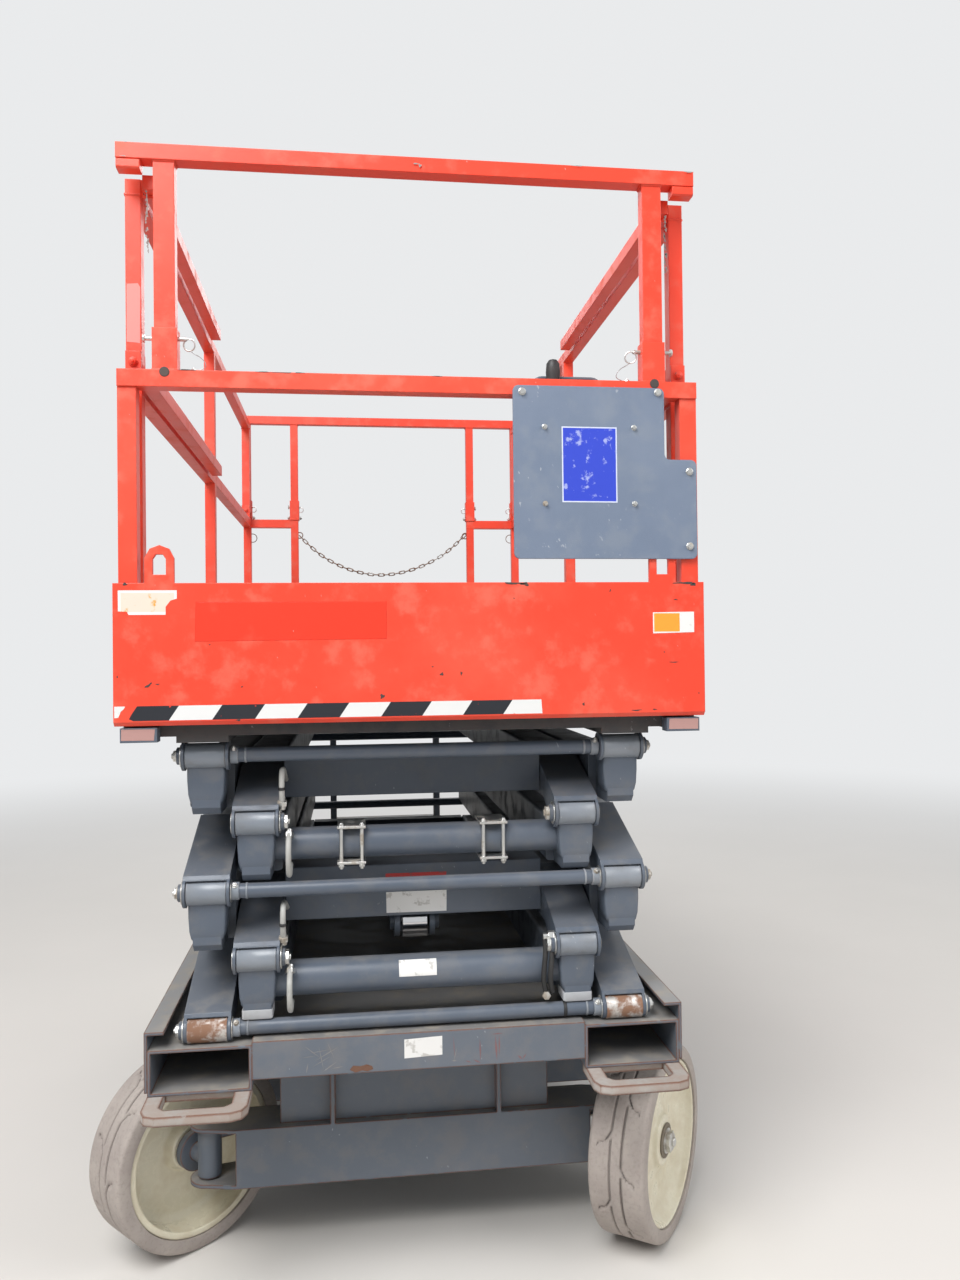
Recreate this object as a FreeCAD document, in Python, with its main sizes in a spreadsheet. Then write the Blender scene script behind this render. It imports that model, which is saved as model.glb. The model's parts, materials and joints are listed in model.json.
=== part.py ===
import FreeCAD, Part
import math
import os

import Sketcher

from FreeCAD import Placement, Rotation, Vector

# Self-propelled scissor lift, in millimetres. X runs across, the steered wheels are at -Y,
# Z is up and the floor is Z = 0. The origin lies under the middle of the outline.
os.makedirs("parts", exist_ok=True)
for old in os.listdir("parts"):
    os.remove(os.path.join("parts", old))
doc = FreeCAD.newDocument("scissor_lift")
sheet = doc.addObject("Spreadsheet::Sheet", "dims")

# Driving dimensions: alias, number (millimetres or degrees), what it is
SIZES = [
    ("wheel_radius", 208, "outer radius of the four solid tyres"),
    ("tread_width", 126, "width of a tyre"),
    ("tyre_depth", 31, "rubber between the tread and the rim"),
    ("rim_wall", 12, "thickness of the rim's barrel"),
    ("axle_radius", 20, "stub axles in the wheel hubs"),
    ("front_axle_y", -828, "kingpins, behind the machine's middle"),
    ("rear_axle_y", 892, "rear wheel centres"),
    ("kingpin_x", 457, "kingpins from the centre plane"),
    ("kingpin_radius", 12, "kingpins"),
    ("wheel_offset", 86, "kingpin to the middle of its tyre"),
    ("rear_wheel_x", 541, "middle of the rear tyres"),
    ("steer_left", 49, "steer angle of the left wheel as parked"),
    ("steer_right", 35.5, "steer angle of the right wheel as parked"),
    ("axle_half_width", 55, "half the depth of the front axle channel"),
    ("axle_low", 161, "underside of the front axle"),
    ("axle_high", 289, "top of the front axle"),
    ("axle_plate", 8, "plates of the axles"),
    ("chassis_front", -1085, "front face of the chassis"),
    ("chassis_rear", 1085, "rear face of the chassis"),
    ("pocket_inner_x", 338, "inner face of the fork pockets"),
    ("pocket_outer_x", 539, "outer face of the fork pockets"),
    ("pocket_low", 460, "underside of the fork pockets"),
    ("pocket_wall", 6, "wall of the fork pockets"),
    ("side_plate_low", 468, "lower edge of the chassis side plates"),
    ("side_plate_high", 586, "upper edge of the chassis side plates"),
    ("side_flange", 38, "width of the flange along the top of a side plate"),
    ("base_pin_z", 575, "lowest scissor pins above the floor"),
    ("pin_pitch", 137, "height from one pin level to the next, stowed"),
    ("pin_span", 1980, "front pins to rear pins, stowed"),
    ("rear_pin_y", 928, "rear scissor pins"),
    ("arm_width", 92, "width of a scissor tube"),
    ("arm_height", 100, "height of a scissor tube"),
    ("arm_inner_x", 283, "inner face of the inner arms"),
    ("arm_gap", 5, "gap between inner and outer arms"),
    ("ear_plate", 6, "plates of a clevis"),
    ("ear_radius", 30, "rounded end of a clevis"),
    ("first_ear_radius", 24, "rounded end of the lowest clevises"),
    ("boss_radius", 25, "boss of an arm's neck"),
    ("pin_radius", 17.5, "scissor pins"),
    ("pin_head", 10, "how far a pin head stands out"),
    ("neck_width", 56, "width of an arm's neck"),
    ("neck_reach", 88, "neck's root behind its pin"),
    ("nose_length", 230, "tapered nose of a clevis end"),
    ("nose_mouth", 35, "top of the nose above its pin"),
    ("mouth_depth", 105, "depth of the clevis mouth"),
    ("centre_pin_radius", 20, "pins where two arms cross"),
    ("tie_radius", 15, "tie rods between outer arms"),
    ("running_fit", 0.1, "radial play of a pin in its bore"),
    ("seat_gap", 0.3, "play between faces that slide or butt"),
    ("platform_front", -1100, "front edge of the main deck"),
    ("platform_rear", 1100, "rear edge of the main deck"),
    ("deck_half_width", 575, "half the width of the main deck"),
    ("deck_top", 1205, "top of the main deck"),
    ("deck_plate", 5, "plate of the decks"),
    ("rail_tube", 30, "square tube of the guard rails"),
    ("toe_plate", 4, "thickness of the toe boards"),
    ("mid_rail_top", 1875, "top of the middle rails"),
    ("mid_rail_height", 33, "height of the middle rails"),
    ("top_rail_rise", 395, "side top rails above the middle rails"),
    ("front_rail_step", 42, "front top rail above the side ones"),
    ("rear_rail_step", 32, "rear top rail above the side ones"),
    ("rear_rail_y", 1040, "front face of the rear rails"),
    ("toe_board", 152, "height of the toe boards"),
    ("panel_overhang", 10, "front panel beyond the deck at each side"),
    ("panel_front", -1140, "front face of the front panel"),
    ("panel_low", 1190, "lower lip of the front panel"),
    ("panel_high", 1464, "upper edge of the front panel"),
    ("panel_plate", 4, "plate of the front panel"),
    ("extension_length", 1080, "length of the sliding deck"),
]
for row, (alias, number, note) in enumerate(SIZES, start=1):
    sheet.set(f"A{row}", note)
    sheet.set(f"B{row}", str(number))
    sheet.setAlias(f"B{row}", alias)
doc.recompute()


class Size:
    """A length that knows its number and its rule over the sheet's cells."""

    def __init__(self, number, rule):
        self.number = number
        self.rule = rule

    def __add__(self, other):
        other = size(other)
        return Size(self.number + other.number, f"({self.rule} + {other.rule})")

    def __sub__(self, other):
        other = size(other)
        return Size(self.number - other.number, f"({self.rule} - {other.rule})")

    def __mul__(self, other):
        other = size(other)
        return Size(self.number * other.number, f"{self.rule} * {other.rule}")

    def __truediv__(self, other):
        other = size(other)
        return Size(self.number / other.number, f"{self.rule} / {other.rule}")

    def __neg__(self):
        return Size(-self.number, f"(0 - {self.rule})")

    def __radd__(self, other):
        return size(other) + self

    def __rsub__(self, other):
        return size(other) - self

    def __rmul__(self, other):
        return size(other) * self


def size(value):
    """Take a plain number as a Size."""
    return value if isinstance(value, Size) else Size(value, f"({value})")


def cosine(angle):
    """Cosine of an angle in degrees."""
    return Size(math.cos(math.radians(angle.number)), f"cos({angle.rule})")


def sine(angle):
    """Sine of an angle in degrees."""
    return Size(math.sin(math.radians(angle.number)), f"sin({angle.rule})")


class Dims:
    """Each driving dimension by its alias."""

    def __getattr__(self, alias):
        return Size(float(sheet.get(alias)), f"dims.{alias}")


d = Dims()
nodes = []

# Rotations that point a cylinder or a sketch along an axis
ALONG = {"X": Rotation(Vector(0, 1, 0), 90), "Y": Rotation(Vector(1, 0, 0), -90), "Z": Rotation()}
FACING = {
    "X": Rotation(Vector(1, 1, 1), 120),
    "Y": Rotation(Vector(0, 1, 1), 180),
    "Z": Rotation(),
}


def place(item, at):
    """Bind an object's position."""
    for axis, value in zip("xyz", at):
        item.setExpression(f"Placement.Base.{axis}", size(value).rule)
    return item


def box(name, low, high):
    """A block between two corners."""
    item = doc.addObject("Part::Box", name)
    for side, start, end in zip(("Length", "Width", "Height"), low, high):
        item.setExpression(side, (size(end) - size(start)).rule)
    return place(item, low)


def rod(name, radius, start, length, axis):
    """A round bar from a point along X, Y or Z."""
    item = doc.addObject("Part::Cylinder", name)
    item.Placement = Placement(Vector(), ALONG[axis])
    item.setExpression("Radius", size(radius).rule)
    item.setExpression("Height", size(length).rule)
    return place(item, start)


def outline(name, points, facing):
    """A closed sketch whose corners are bound; it faces along X (drawn in Y, Z), Y (X, Z) or Z."""
    sketch = doc.addObject("Sketcher::SketchObject", name)
    flip = -1 if facing == "Y" else 1
    corners = [(flip * size(u), size(v)) for u, v in points]
    ends = [Vector(u.number, v.number, 0) for u, v in corners]
    for here, there in zip(ends, ends[1:] + ends[:1]):
        sketch.addGeometry(Part.LineSegment(here, there))
    count = len(corners)
    for index in range(count):
        sketch.addConstraint(Sketcher.Constraint("Coincident", index, 2, (index + 1) % count, 1))
    for index, (u, v) in enumerate(corners):
        for kind, value in (("DistanceX", u), ("DistanceY", v)):
            number = sketch.addConstraint(Sketcher.Constraint(kind, index, 1, value.number))
            sketch.setExpression(f"Constraints[{number}]", value.rule)
    sketch.Placement = Placement(Vector(), FACING[facing])
    return sketch


def plate(name, points, facing, start, end):
    """An outline extruded from one station to another along the axis that it faces."""
    sketch = outline(name + "_outline", points, facing)
    item = doc.addObject("Part::Extrusion", name)
    item.Base = sketch
    item.DirMode = "Custom"
    item.Dir = {"X": Vector(1, 0, 0), "Y": Vector(0, 1, 0), "Z": Vector(0, 0, 1)}[facing]
    item.Solid = True
    item.setExpression("LengthFwd", (size(end) - size(start)).rule)
    item.setExpression(f"Placement.Base.{facing.lower()}", size(start).rule)
    return item


def fuse(name, items):
    """One solid of several."""
    if len(items) == 1:
        return items[0]
    item = doc.addObject("Part::MultiFuse", name)
    item.Shapes = items
    item.Refine = True
    return item


def cut(name, base, tool):
    """A solid less another."""
    item = doc.addObject("Part::Cut", name)
    item.Base = base
    item.Tool = tool
    item.Refine = True
    return item


def mirror(name, source, normal):
    """A copy reflected in a plane through the origin."""
    item = doc.addObject("Part::Mirroring", name)
    item.Source = source
    item.Normal = normal
    return item


def group(name, items):
    """Solids that lie apart, as one object."""
    item = doc.addObject("Part::Compound", name)
    item.Links = items
    return item


def both_sides(name, source):
    """A piece and its twin across the centre plane."""
    return group(name, [source, mirror(name + "_twin", source, Vector(1, 0, 0))])


def rounded(name, base, axis, radius, chosen=None):
    """Round the straight edges that run along an axis."""
    doc.recompute()
    item = doc.addObject("Part::Fillet", name)
    item.Base = base
    edges = []
    for number, edge in enumerate(base.Shape.Edges, start=1):
        run = edge.Vertexes[-1].Point - edge.Vertexes[0].Point
        straight = edge.Curve.TypeId == "Part::GeomLine" and run.Length > 0
        if straight and abs(run.normalize().dot(axis)) > 0.999 and (chosen is None or chosen(edge)):
            edges.append((number, size(radius).number, size(radius).number))
    item.Edges = edges
    return item


def keep(name, item, at=None):
    """Name a finished sub-part."""
    item.Label = name
    if at is not None:
        place(item, at)
    nodes.append(item)
    return item


def revolved(name, points):
    """A ring turned about X from a half section drawn in X (along) and Y (outward)."""
    body = doc.addObject("PartDesign::Body", name)
    sketch = body.newObject("Sketcher::SketchObject", name + "_section")
    plane = [f for f in body.Origin.OriginFeatures if f.Role == "XY_Plane"][0]
    sketch.AttachmentSupport = [(plane, "")]
    sketch.MapMode = "FlatFace"
    corners = [(size(u), size(v)) for u, v in points]
    ends = [Vector(u.number, v.number, 0) for u, v in corners]
    for here, there in zip(ends, ends[1:] + ends[:1]):
        sketch.addGeometry(Part.LineSegment(here, there))
    count = len(corners)
    for index in range(count):
        sketch.addConstraint(Sketcher.Constraint("Coincident", index, 2, (index + 1) % count, 1))
    for index, (u, v) in enumerate(corners):
        for kind, value in (("DistanceX", u), ("DistanceY", v)):
            number = sketch.addConstraint(Sketcher.Constraint(kind, index, 1, value.number))
            sketch.setExpression(f"Constraints[{number}]", value.rule)
    turn = body.newObject("PartDesign::Revolution", name + "_turned")
    turn.Profile = sketch
    turn.ReferenceAxis = (sketch, ["H_Axis"])
    turn.Angle = 360
    sketch.Visibility = False
    body.Tip = turn
    return body


# Wheels: solid non-marking tyres on dished rims. A rim's disc lies towards its outer face,
# and its hollow inner side takes the kingpin ears or the drive motor.
half_tread = d.tread_width / 2
rim_radius = d.wheel_radius - d.tyre_depth
dish_outer = rim_radius - 27
dish_middle = rim_radius - 77
dish_inner = rim_radius - 117
shoulder = size(9)
groove = size(5)
tyre_section = [
    (-half_tread, rim_radius),
    (-half_tread, d.wheel_radius - shoulder),
    (-half_tread + shoulder, d.wheel_radius),
    (-22, d.wheel_radius),
    (-20, d.wheel_radius - groove),
    (-15, d.wheel_radius - groove),
    (-13, d.wheel_radius),
    (13, d.wheel_radius),
    (15, d.wheel_radius - groove),
    (20, d.wheel_radius - groove),
    (22, d.wheel_radius),
    (half_tread - shoulder, d.wheel_radius),
    (half_tread, d.wheel_radius - shoulder),
    (half_tread, rim_radius),
]
lip = half_tread - 4
hub_bore = d.axle_radius + d.running_fit
rim_section = [
    (-lip, rim_radius - d.rim_wall - 4),
    (-lip, rim_radius),
    (lip, rim_radius),
    (lip, rim_radius - 8),
    (lip - 8, rim_radius - 8),
    (30, dish_outer),
    (24, dish_middle),
    (30, dish_inner),
    (44, 52),
    (44, 28),
    (46, hub_bore),
    (-12, hub_bore),
    (-12, 46),
    (14, dish_inner - 2),
    (12, dish_middle),
    (16, dish_outer),
    (10, rim_radius - d.rim_wall),
    (-lip + 10, rim_radius - d.rim_wall),
]

# Name, side of the machine, steered
WHEELS = [("front_left", -1, True), ("front_right", 1, True), ("rear_left", -1, False), ("rear_right", 1, False)]
STEER = {-1: d.steer_left, 1: d.steer_right}


def wheel_place(side, steered):
    """Where a wheel's centre is and how far it is turned about Z."""
    if not steered:
        return (side * d.rear_wheel_x, d.rear_axle_y, d.wheel_radius), None
    angle = STEER[side]
    x = side * (d.kingpin_x + d.wheel_offset * cosine(angle))
    y = d.front_axle_y - side * d.wheel_offset * sine(angle)
    return (x, y, d.wheel_radius), angle


def turned(item, side, angle):
    """Point a wheel outwards and steer it. Left wheels face the other way."""
    half_turn = 180 if side < 0 else 0
    item.Placement = Placement(Vector(), Rotation(Vector(0, 0, 1), half_turn))
    if angle is not None:
        item.Placement = Placement(Vector(), Rotation(Vector(0, 0, 1), half_turn - angle.number))
    return item


for name, side, steered in WHEELS:
    centre, angle = wheel_place(side, steered)
    for piece, section in (("tyre", tyre_section), ("rim", rim_section)):
        ring = revolved(f"{piece}_{name}", section)
        turned(ring, side, angle)
        keep(f"{piece}_{name}", ring, centre)

# Steering knuckles: a bored tube on the kingpin, a stub axle and a steering arm, seen straight
# and then turned. The right knuckle has a second, lower arm for the steering cylinder.
tube_low = d.axle_low + d.axle_plate + 4
tube_high = d.axle_high - d.axle_plate - 4
arm_reach = size(110)
arm_lead = size(20)
arm_eye = size(16)
tie_pin_radius = size(6)
TIE_ARM = (252, 264)
RAM_ARM = (210, 222)


def steering_arm(name, side, low, high):
    """A flat arm from the kingpin back and inwards to a round eye."""
    eye_x = -side * arm_reach * sine(arm_lead)
    eye_y = arm_reach * cosine(arm_lead)
    bar = plate(
        name + "_bar",
        [(-16, 0), (16, 0), (eye_x + 13, eye_y), (eye_x - 13, eye_y)],
        "Z",
        low,
        high,
    )
    return fuse(name, [bar, rod(name + "_eye", arm_eye, (eye_x, eye_y, low), high - low, "Z")])


for name, side in (("left", -1), ("right", 1)):
    label = f"knuckle_{name}"
    tube = rod(label + "_tube", 26, (0, 0, tube_low), tube_high - tube_low, "Z")
    reach = d.wheel_offset + 38
    start = (0, 0, d.wheel_radius) if side > 0 else (-reach, 0, d.wheel_radius)
    stub = rod(label + "_stub", d.axle_radius, start, reach, "X")
    flange_start = (48, 0, d.wheel_radius) if side > 0 else (-66, 0, d.wheel_radius)
    flange = rod(label + "_flange", 44, flange_start, 18, "X")
    pieces = [tube, stub, flange, steering_arm(label + "_tie_arm", side, *TIE_ARM)]
    if side > 0:
        pieces.append(steering_arm(label + "_ram_arm", side, *RAM_ARM))
    bores = [rod(label + "_bore", d.kingpin_radius + d.running_fit, (0, 0, 0), 400, "Z")]
    if side < 0:
        eye_x, eye_y = arm_reach * sine(arm_lead), arm_reach * cosine(arm_lead)
        bores.append(rod(label + "_eye_bore", tie_pin_radius + d.running_fit, (eye_x, eye_y, 240), 40, "Z"))
    knuckle = cut(label, fuse(label + "_body", pieces), fuse(label + "_bores", bores))
    knuckle.Placement = Placement(Vector(), Rotation(Vector(0, 0, 1), -STEER[side].number))
    keep(label, knuckle, (side * d.kingpin_x, d.front_axle_y, 0))


def eye_place(side, steer):
    """The steering arm's eye once its knuckle is turned."""
    heading = steer - side * arm_lead
    x = side * d.kingpin_x + arm_reach * sine(heading)
    y = d.front_axle_y + arm_reach * cosine(heading)
    return x, y


def turn_about_z(item, degrees):
    """Turn an object about Z before it is placed."""
    item.Placement = Placement(Vector(), Rotation(Vector(0, 0, 1), degrees))
    return item


# Tie rod between the two steering arms, under their eyes
left_eye = eye_place(-1, d.steer_left)
right_eye = eye_place(1, d.steer_right)
tie_run = (right_eye[0].number - left_eye[0].number, right_eye[1].number - left_eye[1].number)
tie_length = math.hypot(*tie_run)
tie_angle = math.degrees(math.atan2(tie_run[1], tie_run[0]))
tie = fuse(
    "tie_rod",
    [
        rod("tie_rod_bar", 8, (0, 0, 0), tie_length, "X"),
        rod("tie_rod_eye_left", 14, (0, 0, -9), 18, "Z"),
        rod("tie_rod_pin_left", tie_pin_radius, (0, 0, 8), 22, "Z"),
        rod("tie_rod_eye_right", 14, (tie_length, 0, -9), 18, "Z"),
    ],
)
keep("tie_rod", turn_about_z(tie, tie_angle), (left_eye[0], left_eye[1], 240))

# Steering cylinder: barrel pinned to the axle, rod under the right knuckle's lower arm
ram_pivot = (80, -760)
ram_z = 198
ram_run = (right_eye[0].number - ram_pivot[0], right_eye[1].number - ram_pivot[1])
ram_length = math.hypot(*ram_run)
ram_angle = math.degrees(math.atan2(ram_run[1], ram_run[0]))
ram_rod_radius = size(9)
barrel = cut(
    "steer_barrel",
    fuse(
        "steer_barrel_body",
        [
            rod("steer_barrel_tube", 21, (18, 0, 0), 225, "X"),
            rod("steer_barrel_eye", 18, (0, 0, -14), 28, "Z"),
            box("steer_barrel_neck", (0, -12, -12), (30, 12, 12)),
        ],
    ),
    fuse(
        "steer_barrel_bores",
        [
            rod("steer_barrel_bore", ram_rod_radius + d.running_fit, (30, 0, 0), 240, "X"),
            rod("steer_barrel_pin_bore", 10.1, (0, 0, -30), 60, "Z"),
        ],
    ),
)
keep("steer_barrel", turn_about_z(barrel, ram_angle), (ram_pivot[0], ram_pivot[1], ram_z))
steer_rod = fuse(
    "steer_rod",
    [
        rod("steer_rod_bar", ram_rod_radius, (ram_length - 262, 0, 0), 252, "X"),
        rod("steer_rod_eye", 15, (ram_length, 0, -10), 20, "Z"),
    ],
)
keep("steer_rod", turn_about_z(steer_rod, ram_angle), (ram_pivot[0], ram_pivot[1], ram_z))

# Chassis: two fork pocket tubes run the whole length, tied by cross members and a deck plate
pocket_high = d.base_pin_z - d.boss_radius
pocket = cut(
    "pocket",
    box(
        "pocket_outside",
        (d.pocket_inner_x, d.chassis_front, d.pocket_low),
        (d.pocket_outer_x, d.chassis_rear, pocket_high),
    ),
    box(
        "pocket_inside",
        (d.pocket_inner_x + d.pocket_wall, d.chassis_front - 10, d.pocket_low + d.pocket_wall),
        (d.pocket_outer_x - d.pocket_wall, d.chassis_rear + 10, pocket_high - d.pocket_wall),
    ),
)
keep("fork_pockets", both_sides("fork_pockets", pocket))
plate_outer_x = d.pocket_outer_x + 6
flange_low = d.side_plate_high - 6
side_plate = group(
    "side_plate",
    [
        box(
            "side_plate_web",
            (d.pocket_outer_x, d.chassis_front, d.side_plate_low),
            (plate_outer_x, d.chassis_rear, flange_low - d.seat_gap),
        ),
        box(
            "side_plate_flange",
            (plate_outer_x - d.side_flange, d.chassis_front, flange_low),
            (plate_outer_x, d.chassis_rear, d.side_plate_high),
        ),
    ],
)
keep("side_plates", both_sides("side_plates", side_plate))

# Cross members: name, front face, rear face, height
member_low = d.pocket_low + 21
member_run = size(60)
member_y = size(360)
CROSS_MEMBERS = [
    ("front", d.chassis_front, d.chassis_front + member_run, 75),
    ("middle_front", -member_y - member_run, -member_y, 63),
    ("middle_rear", member_y, member_y + member_run, 63),
    ("rear", d.chassis_rear - member_run, d.chassis_rear, 75),
]
members = [
    box(f"member_{name}", (-d.pocket_inner_x, front, member_low), (d.pocket_inner_x, rear, member_low + height))
    for name, front, rear, height in CROSS_MEMBERS
]
members.append(
    box(
        "deck_pan",
        (-d.pocket_inner_x, d.chassis_front + member_run, member_low + 57),
        (d.pocket_inner_x, d.chassis_rear - member_run, member_low + 63),
    )
)
keep("chassis_deck", fuse("chassis_deck", members))

# Tie-down lugs: a D-shaped loop lies flat under each corner
lug_low = d.pocket_low - 18
lug_high = d.pocket_low
lug_front = d.chassis_front - 90
lug_rear = d.chassis_front + 35
lug_in = d.pocket_inner_x + 2
lug_out = d.pocket_outer_x + 1
lug = cut(
    "lug",
    plate(
        "lug_plate",
        [
            (lug_in, lug_rear),
            (lug_in, lug_front + 30),
            (lug_in + 9, lug_front + 9),
            (lug_in + 30, lug_front),
            (lug_out - 30, lug_front),
            (lug_out - 9, lug_front + 9),
            (lug_out, lug_front + 30),
            (lug_out, lug_rear),
        ],
        "Z",
        lug_low,
        lug_high,
    ),
    plate(
        "lug_slot",
        [
            (lug_in + 32, lug_rear - 20),
            (lug_in + 32, lug_front + 42),
            (lug_in + 44, lug_front + 30),
            (lug_out - 44, lug_front + 30),
            (lug_out - 32, lug_front + 42),
            (lug_out - 32, lug_rear - 20),
        ],
        "Z",
        lug_low - 10,
        lug_high + 10,
    ),
)
lugs = group("lugs_front", [lug, mirror("lug_left", lug, Vector(1, 0, 0))])
keep("tie_down_lugs", lugs)

# Front axle: a channel open to the rear, whose top and bottom plates end in ears that hold
# the kingpins. A wall with two ribs carries it from the chassis.
axle_front = d.front_axle_y - d.axle_half_width
axle_rear = d.front_axle_y + d.axle_half_width


def axle_flange(name, low, high):
    """A flat plate along the axle with a round ear at each kingpin."""
    strip = box(name + "_strip", (-d.kingpin_x, axle_front, low), (d.kingpin_x, axle_rear, high))
    ear = rod(name + "_ear", 42, (d.kingpin_x, d.front_axle_y, low), high - low, "Z")
    trim = plate(
        name + "_trim",
        [
            (d.kingpin_x - 60, axle_front),
            (d.kingpin_x + 80, axle_front - 10),
            (d.kingpin_x + 80, axle_rear + 10),
            (d.kingpin_x - 60, axle_rear),
            (d.kingpin_x, axle_rear - 13),
            (d.kingpin_x, axle_front + 13),
        ],
        "Z",
        low - 1,
        high + 1,
    )
    trims = both_sides(name + "_trims", trim)
    ears = both_sides(name + "_ears", ear)
    return fuse(name, [cut(name + "_cut", strip, trims), ears])


saddle_low = member_low - 11
wall_y = axle_front + 20
wall_half = size(300)
web_half = size(395)
kingpin_low = d.axle_low - 6
kingpin_run = d.axle_high - d.axle_low + 12
joint_z = d.axle_high - 1
# Upright plates between the axle and the saddle: inner face, thickness, front face
RIBS = [
    (180, 10, axle_front),
    (wall_half - 8, 8, wall_y),
]
ribs = [
    both_sides(
        f"axle_ribs_{index}",
        box(f"axle_rib_{index}", (inner, front, joint_z), (size(inner) + thick, axle_rear, member_low)),
    )
    for index, (inner, thick, front) in enumerate(RIBS, start=1)
]
kingpin = rod("kingpin", d.kingpin_radius, (d.kingpin_x, d.front_axle_y, kingpin_low), kingpin_run, "Z")
axle = fuse(
    "front_axle",
    [
        axle_flange("axle_top", d.axle_high - d.axle_plate, d.axle_high),
        axle_flange("axle_bottom", d.axle_low, d.axle_low + d.axle_plate),
        box("axle_web", (-web_half, axle_front, d.axle_low), (web_half, axle_front + d.axle_plate, d.axle_high)),
        box("axle_wall", (-wall_half, wall_y, joint_z), (wall_half, wall_y + 10, member_low)),
        box("axle_saddle", (-d.pocket_inner_x, wall_y, saddle_low), (d.pocket_inner_x, axle_rear, member_low)),
        *ribs,
        both_sides("kingpins", kingpin),
        rod("ram_pin", 10, (ram_pivot[0], ram_pivot[1], d.axle_low), ram_z + 17 - d.axle_low, "Z"),
        box(
            "ram_ear_low",
            (ram_pivot[0] - 30, axle_rear - 10, d.axle_low),
            (ram_pivot[0] + 30, ram_pivot[1] + 20, d.axle_low + d.axle_plate),
        ),
    ],
)
keep("front_axle", axle)

# Rear axle: a box beam under the chassis, a drive motor in each rim and a stub axle
motor_inner = size(438)
motor_outer = d.rear_wheel_x - 22
beam_front = d.rear_axle_y - 55
beam_rear = d.rear_axle_y + 55
beam_low = d.wheel_radius - 58
beam_high = d.wheel_radius + 62
post_front = d.rear_axle_y - 50
post_rear = d.rear_axle_y + 50
post = box("rear_axle_post", (230, post_front, beam_high - 1), (wall_half, post_rear, member_low))
rear_pieces = [
    box("rear_beam", (-motor_inner, beam_front, beam_low), (motor_inner, beam_rear, beam_high)),
    both_sides("rear_axle_posts", post),
    box("rear_saddle", (-d.pocket_inner_x, post_front, saddle_low), (d.pocket_inner_x, post_rear, member_low)),
]
for label, side in (("right", 1), ("left", -1)):
    motor_start = motor_inner - 2 if side > 0 else -motor_outer
    motor_run = motor_outer - motor_inner + 2
    rear_pieces.append(rod(f"motor_{label}", 78, (motor_start, d.rear_axle_y, d.wheel_radius), motor_run, "X"))
    stub_start = motor_outer - 2 if side > 0 else -(d.rear_wheel_x + 38)
    rear_pieces.append(
        rod(f"rear_stub_{label}", d.axle_radius, (stub_start, d.rear_axle_y, d.wheel_radius), 62, "X")
    )
keep("rear_axle", fuse("rear_axle", rear_pieces))

# Swing-out trays between the wheels: a pan with a cover, hinged on a post at its front outer corner
tray_inner = size(236)
tray_outer = d.pocket_outer_x
tray_front = size(-530)
tray_rear = size(640)
tray_low = size(190)
tray_high = d.pocket_low - 8
tray = cut(
    "tray",
    rounded(
        "tray_rounded",
        box("tray_block", (tray_inner, tray_front, tray_low), (tray_outer, tray_rear, tray_high)),
        Vector(0, 0, 1),
        18,
    ),
    box(
        "tray_hollow",
        (tray_inner - 10, tray_front + 6, tray_low + 6),
        (tray_outer - 6, tray_rear - 6, tray_high - 6),
    ),
)
tray_hinge = (tray_outer - 16, tray_front + 16)
hinge_bore = rod("tray_bore", 8.1, (tray_hinge[0], tray_hinge[1], tray_low - 10), tray_high - tray_low + 20, "Z")
tray_right = cut("tray_right", tray, hinge_bore)
keep("hydraulic_tray", tray_right)
keep("battery_tray", mirror("battery_tray", tray_right, Vector(1, 0, 0)))
pin = rod("tray_pin", 8, (tray_hinge[0], tray_hinge[1], tray_low - 4), d.pocket_low - tray_low + 4, "Z")
keep("tray_pins", both_sides("tray_pins", pin))
battery = box(
    "battery_block",
    (-tray_outer + 40, -280, tray_low + 6),
    (-tray_inner - 10, 420, tray_low + 236),
)
keep("battery_pack", battery)
hydraulics = box(
    "hydraulic_block",
    (tray_inner + 10, -380, tray_low + 6),
    (tray_outer - 40, 300, tray_low + 226),
)
keep("hydraulic_unit", hydraulics)

# Entry ladder on the rear of the chassis
step_half = size(205)
stile_out = step_half + 25
stile_low = size(300)
stile_high = d.deck_top - 55
stile_front = d.chassis_rear + 25
stile = box("stile", (step_half, stile_front, stile_low), (stile_out, stile_front + 40, stile_high))
stile_foot = box("stile_foot", (step_half, d.chassis_rear, member_low + 5), (stile_out, stile_front + 1, pocket_high))
keep("ladder_stiles", both_sides("ladder_stiles", fuse("stile_right", [stile, stile_foot])))
STEPS_Z = [size(330), size(600), size(870), stile_high - 25]
steps = [
    box(f"step_{index}", (-step_half, stile_front - 5, z), (step_half, stile_front + 65, z + 22))
    for index, z in enumerate(STEPS_Z, start=1)
]
keep("ladder_steps", group("ladder_steps", steps))

# Scissor arms. Each runs from a forked lower end with a tapered nose, through a square tube,
# to a neck and boss that sits in the next fork. Drawn for an arm whose lower pin is at the
# front: Y runs from the lower pin, Z from the lower pin's height, X across the arm.
half_arm = d.arm_width / 2
tube_bottom = (d.pin_pitch - d.arm_height) / 2
tube_top = tube_bottom + d.arm_height
boss_half = half_arm - d.ear_plate - d.seat_gap
EAR_TANGENT = size(64)
nose_slope = (tube_top - d.nose_mouth) / (d.nose_length + 8)


def nose_line(along):
    """Height of the nose's top face at a distance behind its pin."""
    return d.nose_mouth + nose_slope * (size(along) + 8)


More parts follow.
